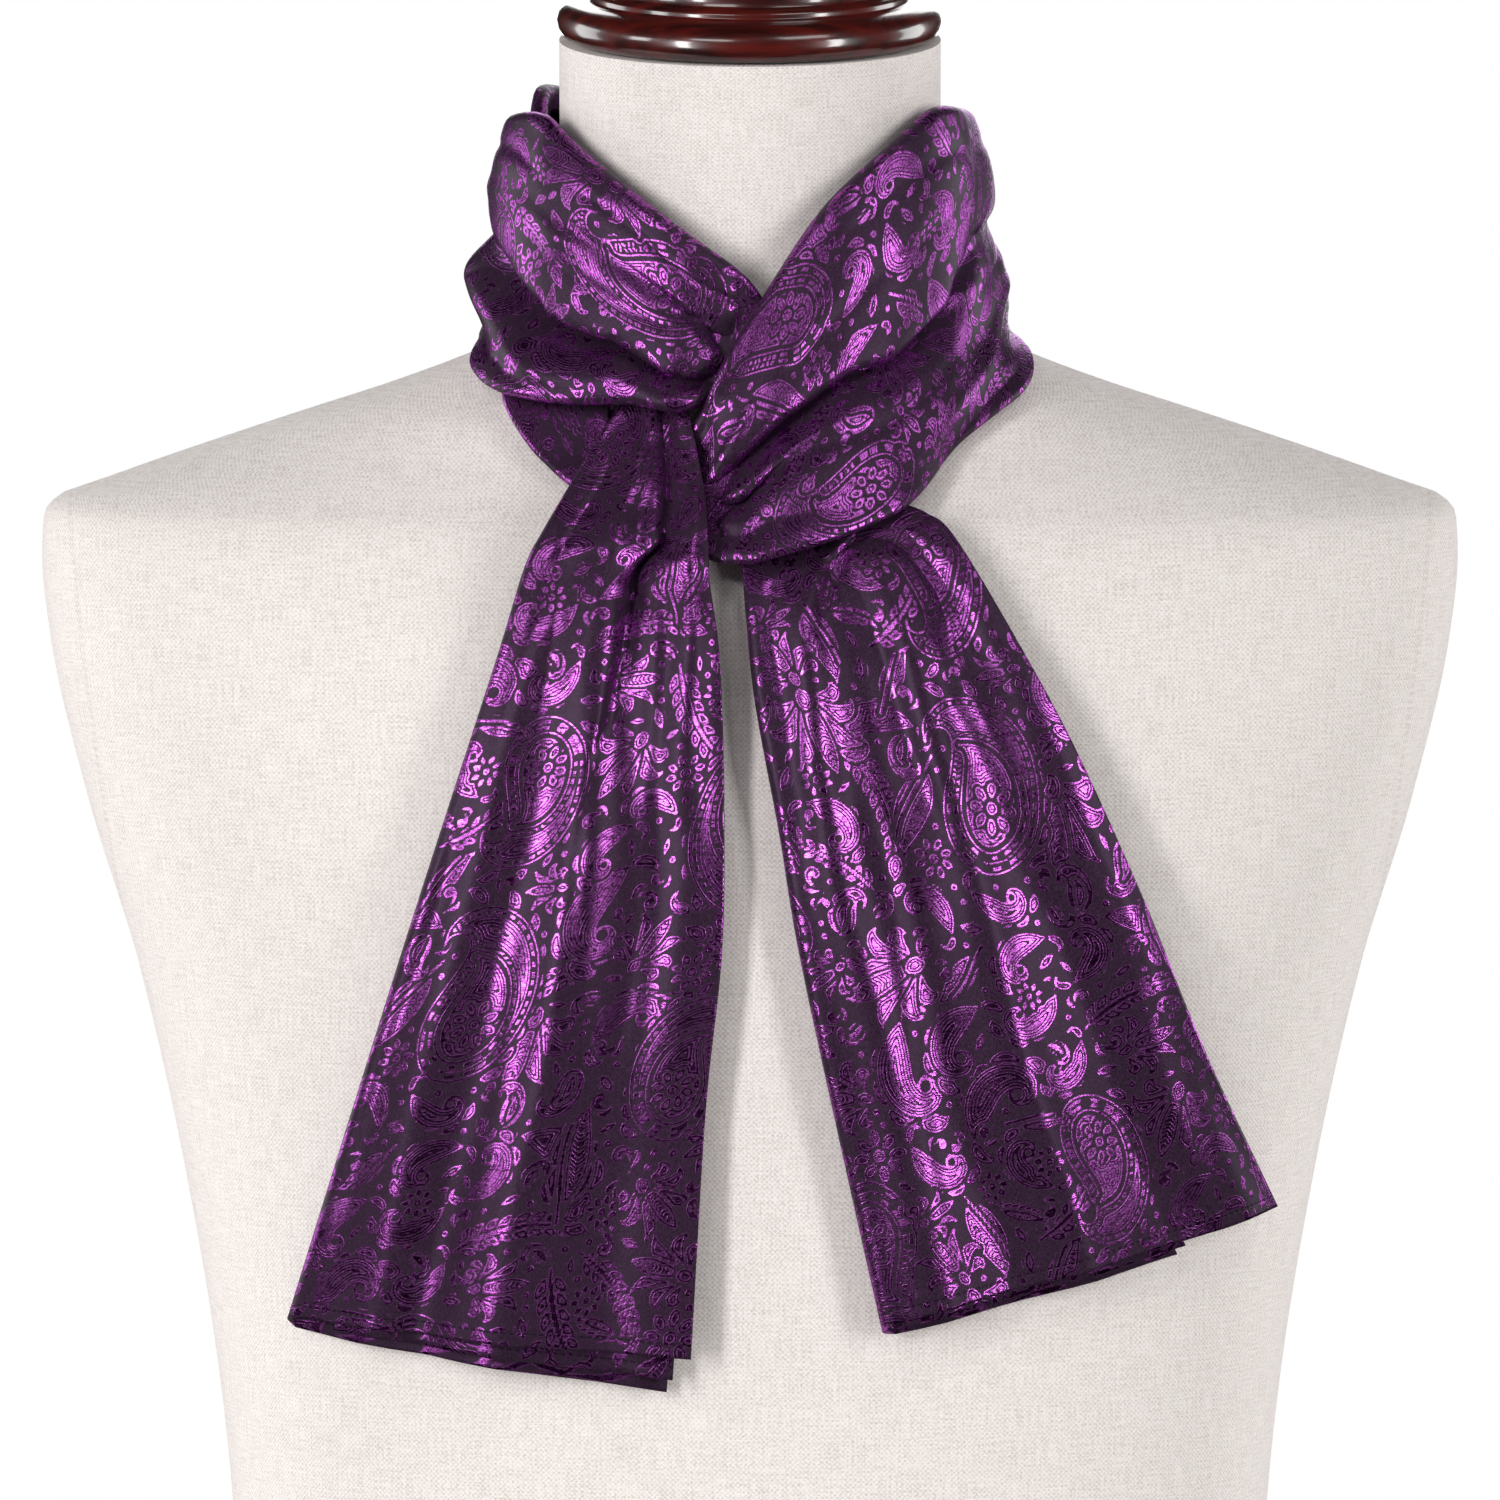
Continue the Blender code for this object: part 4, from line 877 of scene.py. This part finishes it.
def equal_stations(middle, stations, cell):
    """Stations that lie about a cell apart along the middle line of a stretch."""
    gone = running(np.linalg.norm(np.diff(middle, axis=0), axis=1))
    return np.interp(np.linspace(0.0, gone[-1], int(gone[-1] / cell) + 1), gone, stations)


def form_level(points):
    """1 on the form's skin, less inside it and more outside, at an array of points."""
    half_width, half_depth, centre_y, square = smooth_columns(FORM_SLICES, points[..., 2])
    wide = np.abs(points[..., 0]) / half_width
    deep = np.abs(points[..., 1] - centre_y) / half_depth
    return (wide ** square + deep ** square) ** (1.0 / square)


def clear_of_form(points, gap):
    """Points moved straight out of the form wherever they lie nearer to its skin than the gap."""
    nudge = CLOTH / 2
    for _ in range(OUTWARD_PASSES):
        level = form_level(points)
        gradient = np.stack([
            (form_level(points + nudge * axis) - form_level(points - nudge * axis)) / (2 * nudge)
            for axis in np.eye(3)], axis=-1)
        steepness = np.linalg.norm(gradient, axis=-1)
        short = np.clip(gap - (level - 1.0) / steepness, 0.0, OUTWARD_MOST)
        points = points + gradient / steepness[..., None] * short[..., None]
    return points


def core_point(turn, height, off):
    """The point at a turn (radians from the front), a height and a distance out of the collar's core."""
    radius_x, radius_y = smooth_columns(COLLAR_CORE, height)
    half_width, half_depth, _, square = smooth_columns(FORM_SLICES, height)
    side, front = np.sin(turn), np.cos(turn)
    core = 1.0 / np.hypot(side / radius_x, front / radius_y)
    form = ((np.abs(side) / half_width) ** square + (np.abs(front) / half_depth) ** square) ** (-1.0 / square)
    wider = 0.5 * (core + form + np.hypot(form - core, CORE_BLEND))
    return np.stack([(wider + off) * side, CORE_Y - (wider + off) * front, height], axis=-1)


def form_front(x, z):
    """The form's front skin: its y at each x and z."""
    half_width, half_depth, centre_y, square = smooth_columns(FORM_SLICES, z)
    wide = np.clip(np.abs(x) / half_width, 0.0, 0.98)
    return centre_y - half_depth * (1.0 - wide ** square) ** (1.0 / square)


def both_walls(sheet):
    """The outer and the inner points of a cloth wall, each half its thickness from the sheet."""
    normal = np.cross(np.gradient(sheet, axis=0), np.gradient(sheet, axis=1))
    normal /= np.linalg.norm(normal, axis=-1)[..., None].clip(1e-9)
    return sheet + normal * CLOTH / 2, sheet - normal * CLOTH / 2


def cell_faces(rows, columns, first=0):
    corner = (np.arange(rows - 1)[:, None] * columns + np.arange(columns - 1)[None, :]).ravel() + first
    return np.stack([corner, corner + 1, corner + columns + 1, corner + columns], axis=-1)


def coarse_wall(sheet):
    """The wall's two faces, for finding what lies over it."""
    outer, inner = both_walls(sheet)
    rows, columns = sheet.shape[:2]
    faces = np.concatenate([cell_faces(rows, columns), cell_faces(rows, columns, rows * columns)])
    return np.concatenate([outer, inner]).reshape(-1, 3), faces


def rise_over(points, out, walls):
    """How far each point must move along its outward direction to pass clear over the walls."""
    trees = [BVHTree.FromPolygons(points.tolist(), faces.tolist()) for points, faces in walls]
    rise = np.zeros(points.shape[:-1])
    for index in np.ndindex(rise.shape):
        point, direction = Vector(points[index]), Vector(out[index])
        for tree in trees:
            hit = tree.ray_cast(point + direction * REACH, -direction, REACH + LAYER_AIR + CLOTH / 2)
            if hit[0] is not None:
                rise[index] = max(rise[index], REACH - hit[3] + LAYER_AIR + CLOTH / 2)
    return rise


def neighbours(grid):
    """The grid shifted by one cell in each of the nine ways, its own place included."""
    padded = np.pad(grid, 1, mode="edge")
    rows, columns = grid.shape
    return [padded[i:i + rows, j:j + columns] for i in range(3) for j in range(3)]


def spread(rise):
    """The same rise, widened by a cell each way and eased into its neighbours, never lower than it was."""
    eased = np.max(neighbours(rise), axis=0)
    for _ in range(EASE_PASSES):
        eased = np.maximum(np.mean(neighbours(eased), axis=0), rise)
    return eased


def turned_section(length, radius, back, cells, turn_cells):
    """Across one wound stretch: (way across, height) from behind its top edge to behind its low edge."""
    turn = np.linspace(0.0, math.pi, turn_cells + 1)
    run = np.linspace(1.0, 0.0, max(2, turn_cells // 2) + 1)[:-1]
    top = [(radius + back * share, -2 * radius) for share in run] + [
        (radius - radius * math.sin(a), -radius - radius * math.cos(a)) for a in turn]
    face = [(s, 0.0) for s in np.linspace(radius, length - radius, cells + 1)[1:-1]]
    low = [(length - across, height) for across, height in reversed(top)]
    return np.array(top + face + low)


def edge_cells(cell):
    """How many cells go round a folded edge: more of them where the cells are small, for show."""
    return 8 if cell < 2 else 3


class Stretch:
    """A stretch of the scarf: its sections, its folds, and how far it is lifted by what it lies on."""

    def __init__(self, name, rows, steps, passes):
        self.name, self.rows, self.steps, self.passes = name, rows, steps, passes
        self.stations = np.linspace(0.0, len(rows) - 1.0, steps + 1)
        self.lift = np.zeros((steps + 1, COARSE_CELLS + 1))

    def lifted(self, station, across):
        return between(self.lift, station / self.stations[-1] * self.steps,
                       np.clip(across, 0.0, 1.0) * COARSE_CELLS)

    def lay_over(self, walls, share=1.0):
        """Lifts the cloth clear over the walls, by a share of that at each station."""
        places = np.meshgrid(self.stations, np.linspace(0, 1, COARSE_CELLS + 1), indexing="ij")
        for _ in range(self.passes):
            under, out = self.underside(*places)
            self.lift += spread(rise_over(under, out, walls)) * np.reshape(share, (-1, 1))


class Wound(Stretch):
    """A stretch wound round the neck: a face with both its edges folded under, round this radius."""

    def __init__(self, name, rows, radius, steps):
        super().__init__(name, rows, steps, 2)
        self.radius = radius
        self.turns = along_sections(rows, self.stations)[0]

    def point(self, station, across, height_over_face):
        station, across, height_over_face = np.broadcast_arrays(station, across, height_over_face)
        turn_top, top_z, top_off, turn_low, low_z, low_off, belly = along_sections(self.rows, station)
        height_of_folds, hang = relief(self.name, station, across)
        hung = across + hang
        turn = np.radians(blend(turn_top, turn_low, hung))
        face = (blend(top_off, low_off, across) + belly * 4 * across * (1 - across)
                + height_of_folds + self.lifted(station, across))
        face = np.maximum(face, CLOTH / 2 + CLEAR + EDGE_ROOM)
        room = np.minimum((face - CLOTH / 2 - CLEAR) / (2 * self.radius), 1.0)
        return core_point(turn, blend(top_z, low_z, hung), face + height_over_face * room)

    def underside(self, stations, across):
        """Where the cloth behind the folded edges lies, and the way out from the neck there."""
        under = self.point(stations, across, -2 * self.radius)
        out = np.stack([under[..., 0], under[..., 1] - CORE_Y, np.zeros(under.shape[:-1])], axis=-1)
        return under, out / np.linalg.norm(out, axis=-1)[..., None]

    def sheet(self, cell):
        """The stretch's middle surface in cells of about this size: its points."""
        trial = np.linspace(0.0, self.stations[-1], TRIAL_STATIONS)
        stations = equal_stations(self.point(trial, 0.5, 0.0), trial, cell)
        turn_top, top_z, _, turn_low, low_z, _, _ = along_sections(self.rows, stations)
        widths = np.hypot(top_z - low_z, np.radians(turn_top - turn_low) * MIDDLE_RADIUS)
        cells = int(widths.max() / cell)
        paths = np.array([
            turned_section(width, self.radius, COLLAR_RETURN, cells, edge_cells(cell)) for width in widths])
        points = self.point(stations[:, None], paths[..., 0] / widths[:, None], paths[..., 1])
        return clear_of_form(points, CLOTH / 2 + CLEAR + EDGE_ROOM * (1 + paths[..., 1] / (2 * self.radius)))


class Tail(Stretch):
    """A tail of the scarf: folded cloth that hangs down the form's front in three plies."""

    def __init__(self, name, rows, plies):
        super().__init__(name, rows, (len(rows) - 1) * TAIL_STEPS, 1)
        (self.back_reach, self.back_left, self.back_right,
         self.inner_start, self.inner_end, self.inner_left, self.inner_right) = plies

    def reach(self, station):
        """How far across the ply behind goes."""
        widening = np.clip((station - BACK_WIDENS[0]) / (BACK_WIDENS[1] - BACK_WIDENS[0]), 0.0, 1.0)
        return blend(NARROW_BACK, self.back_reach, widening)

    def point(self, station, across, drop, ply):
        """Middle points of the plies: ply 0 is the front one and 1 the back one; drop lowers the hem."""
        station, across, drop, ply = np.broadcast_arrays(station, across, drop, ply)
        down = station / (len(self.rows) - 1.0)
        left_x, left_z, right_x, right_z, left_off, right_off, radius = along_sections(self.rows, station)
        height_of_folds, hang = relief(self.name, station, across)
        hung = across + hang * (1.0 - ply)
        x = blend(left_x, right_x, hung)
        z = blend(left_z, right_z, hung) - drop * down ** 3
        front = blend(left_off, right_off, across) + height_of_folds + self.lifted(station, across)
        least = CLOTH / 2 + CLEAR
        front = np.maximum(front, least + np.where(down > 0.0, 2 * THREE_PLIES, EDGE_ROOM))
        apart = np.clip(2 * radius, 0.0, front - least)
        return np.stack([x, form_front(x, z) - front + apart * ply, z], axis=-1)

    def underside(self, stations, across):
        """The ply that is nearest to the form, and the way to the front."""
        ply = np.where(across < self.reach(stations) + BACK_MARGIN, 1.0, 0.0)
        under = self.point(stations, across, 0.0, ply)
        return under, np.broadcast_to(np.array([0.0, -1.0, 0.0]), under.shape)

    def along(self, cell, first=0.0):
        trial = np.linspace(first, self.stations[-1], TRIAL_STATIONS)
        return equal_stations(self.point(trial, 0.5, 0.0, 0.0), trial, cell)

    def outer_sheet(self, cell):
        """The outer cloth: the front, the fold down its left edge and the ply behind."""
        stations = self.along(cell)
        width = np.linalg.norm(np.diff(self.point(self.stations[-1], np.array([0.0, 1.0]), 0.0, 0.0), axis=0))
        front = np.linspace(1.0, EDGE_SHARE, int(width / cell) + 1)
        behind = (1 - np.cos(np.linspace(0.0, math.pi, edge_cells(cell) + 1)[1:])) / 2
        turn = EDGE_SHARE * (1 - 2 * np.sqrt((behind - behind * behind).clip(0.0)))
        back = np.linspace(0.0, 1.0, int(width / max(BACK_CELL, cell)) + 1)[1:]
        reach = self.reach(stations)[:, None]
        rows = (len(stations), 1)
        across = np.concatenate([np.tile(front, rows), np.tile(turn, rows),
                                 blend(EDGE_SHARE, reach, back)], axis=1)
        ply = np.concatenate([0 * front, behind, 0 * back + 1])
        slant = self.back_right - self.back_left
        drop = ply * self.back_left + np.where(ply == 1, slant * across, 0.0)
        return self.point(stations[:, None], across, drop, ply)

    def inner_sheet(self, cell):
        """The ply that lies folded inside the tail and shows at its hem."""
        stations = self.along(cell, INNER_STARTS)
        across = np.linspace(self.inner_end, self.inner_start, int(INNER_WIDTH / cell) + 1)
        drop = blend(self.inner_left, self.inner_right, across)
        return self.point(stations[:, None], across, drop, INNER_PLY)

    def walls(self, cell):
        return [coarse_wall(self.outer_sheet(cell)), coarse_wall(self.inner_sheet(cell))]


def eased(turns):
    """1 where the turns lie past 0, with a soft step."""
    return np.clip(turns / EASE_TURN, 0.0, 1.0)


COARSE = 9.0  # cells of the walls that the stretches are laid over
tail_left = Tail("tail_left", TAIL_LEFT, TAIL_PLIES["left"])
tail_right = Tail("tail_right", TAIL_RIGHT, TAIL_PLIES["right"])
# the wound ones each with its number of steps along, where it is laid over others
under = Wound("collar_under", COLLAR_UNDER, UNDER_EDGE, 9)
over_left = Wound("collar_left", COLLAR_LEFT, COLLAR_EDGE, 40)
over_right = Wound("collar_right", COLLAR_RIGHT, COLLAR_EDGE, 37)
under_wall = coarse_wall(under.sheet(COARSE))
over_left.lay_over([under_wall])
# the right stretch lies over the left one from the knot to the crossing at the back
over_right.lay_over(tail_right.walls(COARSE) + [coarse_wall(over_left.sheet(COARSE))],
                    eased(CROSSING - over_right.turns))
right_wall = coarse_wall(over_right.sheet(COARSE))
tail_left.lay_over([under_wall, right_wall])
# the left one lies over its tail beside the knot, and over the right one up to the crossing
out_of_knot = eased(-KNOT_TURN - over_left.turns)
over_left.lay_over(tail_left.walls(COARSE), out_of_knot)
over_left.lay_over([right_wall], out_of_knot * eased(over_left.turns + 360.0 - CROSSING))

# --------------------------------------
# The scarf's stretches as cloth: each is a wall of satin in fine cells on its outer face and wider ones
# inside, charted with the paisley from the middle of the stretch outwards.
FINE = 0.9
INSIDE_STEP = 4  # fine cells to one cell of the hidden inner face
NO_HEM = 50.0  # from a hem, where there is none


def wall_faces(rows, columns, row_pick, column_pick):
    """A closed wall's faces: its shown side in every cell, its hidden one in every few, and four rims."""
    fine = np.arange(rows * columns).reshape(rows, columns)
    few = fine.size + np.arange(len(row_pick) * len(column_pick)).reshape(len(row_pick), -1)
    faces = cell_faces(rows, columns).tolist() + cell_faces(*few.shape, fine.size)[:, ::-1].tolist()
    rims = ((fine[0], few[0], column_pick, True), (fine[-1], few[-1], column_pick, False),
            (fine[:, 0], few[:, 0], row_pick, False), (fine[:, -1], few[:, -1], row_pick, True))
    for shown, hidden, picked, flipped in rims:
        for k, (a, b) in enumerate(zip(picked, picked[1:])):
            rim, low = shown[a:b + 1].tolist(), hidden[k:k + 2].tolist()
            faces.append(rim[::-1] + low if flipped else rim + low[::-1])
    return faces


def cloth_piece(name, sheet, chart_start):
    """A closed wall of satin round a middle surface, with its threads and what the chart draws on them."""
    shown, hidden = both_walls(sheet)
    rows, columns = sheet.shape[:2]
    middle = columns // 2
    outward = (shown - hidden)[:, middle, :2] * (sheet[:, middle, :2] - (0.0, CORE_Y))
    if outward.sum() < 0:
        shown, hidden = hidden, shown
    row_pick, column_pick = (sorted({*range(0, count, INSIDE_STEP), count - 1}) for count in (rows, columns))
    few = np.ix_(row_pick, column_pick)
    mesh = bpy.data.meshes.new(name)
    points = np.concatenate([shown.reshape(-1, 3), hidden[few].reshape(-1, 3)]) * METRES
    mesh.from_pydata(points.tolist(), [], wall_faces(rows, columns, row_pick, column_pick))
    piece = placed(name, mesh)
    tidy = bmesh.new()
    tidy.from_mesh(mesh)
    bmesh.ops.recalc_face_normals(tidy, faces=tidy.faces)
    tidy.to_mesh(mesh)
    tidy.free()
    mesh.shade_smooth()
    u = running(np.linalg.norm(np.diff(sheet, axis=1), axis=-1))
    u -= u[:, [middle]]
    v = running(np.linalg.norm(np.diff(sheet[:, middle], axis=0), axis=-1))[:, None] + 0 * u
    hem = v[-1] - v if name.startswith("satin_tail") else v * 0 + NO_HEM
    threads = np.stack([u + chart_start[0], v + chart_start[1], hem], axis=-1)
    threads = np.concatenate([threads.reshape(-1, 3), threads[few].reshape(-1, 3)])
    point_values(piece, "threads", threads)
    point_values(piece, "figure", charted(threads[:, 0], threads[:, 1]))
    mesh.materials.append(satin)
    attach(piece, "root")
    return piece


PIECES = [
    # name, its middle surface, where it starts on the chart, the width and length it was cut to in metres
    ("collar_left", over_left.sheet(FINE), (40.0, 12.0), (0.075, 0.41)),
    ("collar_right", over_right.sheet(FINE), (139.0, 70.0), (0.085, 0.44)),
    ("collar_under", under.sheet(FINE), (10.0, 30.0), (0.045, 0.068)),
    ("tail_left_outer", tail_left.outer_sheet(FINE), (98.0, 95.0), (0.20, 0.26)),
    ("tail_left_inner", tail_left.inner_sheet(2 * FINE), (20.0, 40.0), (0.095, 0.205)),
    ("tail_right_outer", tail_right.outer_sheet(FINE), (138.0, 0.0), (0.19, 0.24)),
    ("tail_right_inner", tail_right.inner_sheet(2 * FINE), (70.0, 60.0), (0.085, 0.157)),
]
for name, sheet, chart_start, flat in PIECES:
    piece = cloth_piece("satin_" + name, sheet, chart_start)
    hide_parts(name)

# --------------------------------------
# The studio: a plain pale floor and backdrop, soft boxes all round, and the camera straight in front, a
# little above the scarf. Its lengths are in metres.
bpy.ops.object.select_all(action="DESELECT")
bpy.ops.mesh.primitive_circle_add(vertices=96, radius=1.15, fill_type="NGON", location=(0, 0, 0))
floor = bpy.context.object
floor.name = "studio_floor"
paper, _, _ = finish("white_paper", {
    "Base Color": (0.30, 0.30, 0.30, 1), "Roughness": 0.9,
    "Emission Color": (1.0, 1.0, 1.0, 1), "Emission Strength": 0.48})
floor.data.materials.append(paper)
floor.visible_glossy = False

VIEW_WIDTH = 0.474  # of the picture, at the target
VIEW_DISTANCE = 3.0
VIEW_ELEVATION = 4.0  # degrees
target = Vector((0.0, 0.0, 0.437))
#   name  x  y  z  width  height  power
SOFT_BOXES = [
    ("left_box", -1.8, -2.0, 0.75, 0.40, 1.8, 48.0),
    ("right_box", 2.1, -1.5, 0.85, 0.40, 1.8, 36.0),
    ("left_side_box", -2.2, 1.1, 0.9, 1.0, 1.6, 20.0),
    ("right_side_box", 2.2, 1.1, 0.9, 1.0, 1.6, 22.0),
    ("high_left_box", -0.9, -1.9, 2.15, 1.0, 0.5, 9.0),
    ("high_right_box", 1.0, -1.2, 2.35, 1.0, 0.6, 8.0),
    ("back_box", 0.2, 2.6, 1.2, 1.4, 1.8, 20.0),
    ("low_left_box", -2.0, -0.7, 1.25, 0.5, 0.6, 9.0),
]
for name, x, y, z, width, height, power in SOFT_BOXES:
    lamp = bpy.data.lights.new(name, "AREA")
    lamp.shape = "RECTANGLE"
    lamp.size, lamp.size_y, lamp.energy = width, height, power
    box = placed(name, lamp)
    box.location = (x, y, z)
    box.rotation_euler = (target - box.location).to_track_quat("-Z", "Y").to_euler()

world = bpy.data.worlds.new("studio")
bpy.context.scene.world = world
world.use_nodes = True
backdrop = world.node_tree.nodes["Background"]
backdrop.inputs["Color"].default_value = (1.0, 1.0, 1.0, 1.0)
# the camera sees the backdrop white, and the object gets a hundredth of its light
seen = Wire(world.node_tree, None).node("ShaderNodeLightPath", None, None, "Is Camera Ray")
plug(backdrop, "Strength", seen * 0.99 + 0.01)
bpy.context.scene.view_settings.view_transform = "Standard"

camera = bpy.data.cameras.new("camera")
camera.sensor_width = 36.0
camera.lens = camera.sensor_width * VIEW_DISTANCE / VIEW_WIDTH
camera.clip_end = 100.0
viewer = placed("camera", camera)
rise = math.radians(VIEW_ELEVATION)
viewer.location = target + VIEW_DISTANCE * Vector((0.0, -math.cos(rise), math.sin(rise)))
viewer.rotation_euler = (target - viewer.location).to_track_quat("-Z", "Y").to_euler()
bpy.context.scene.camera = viewer
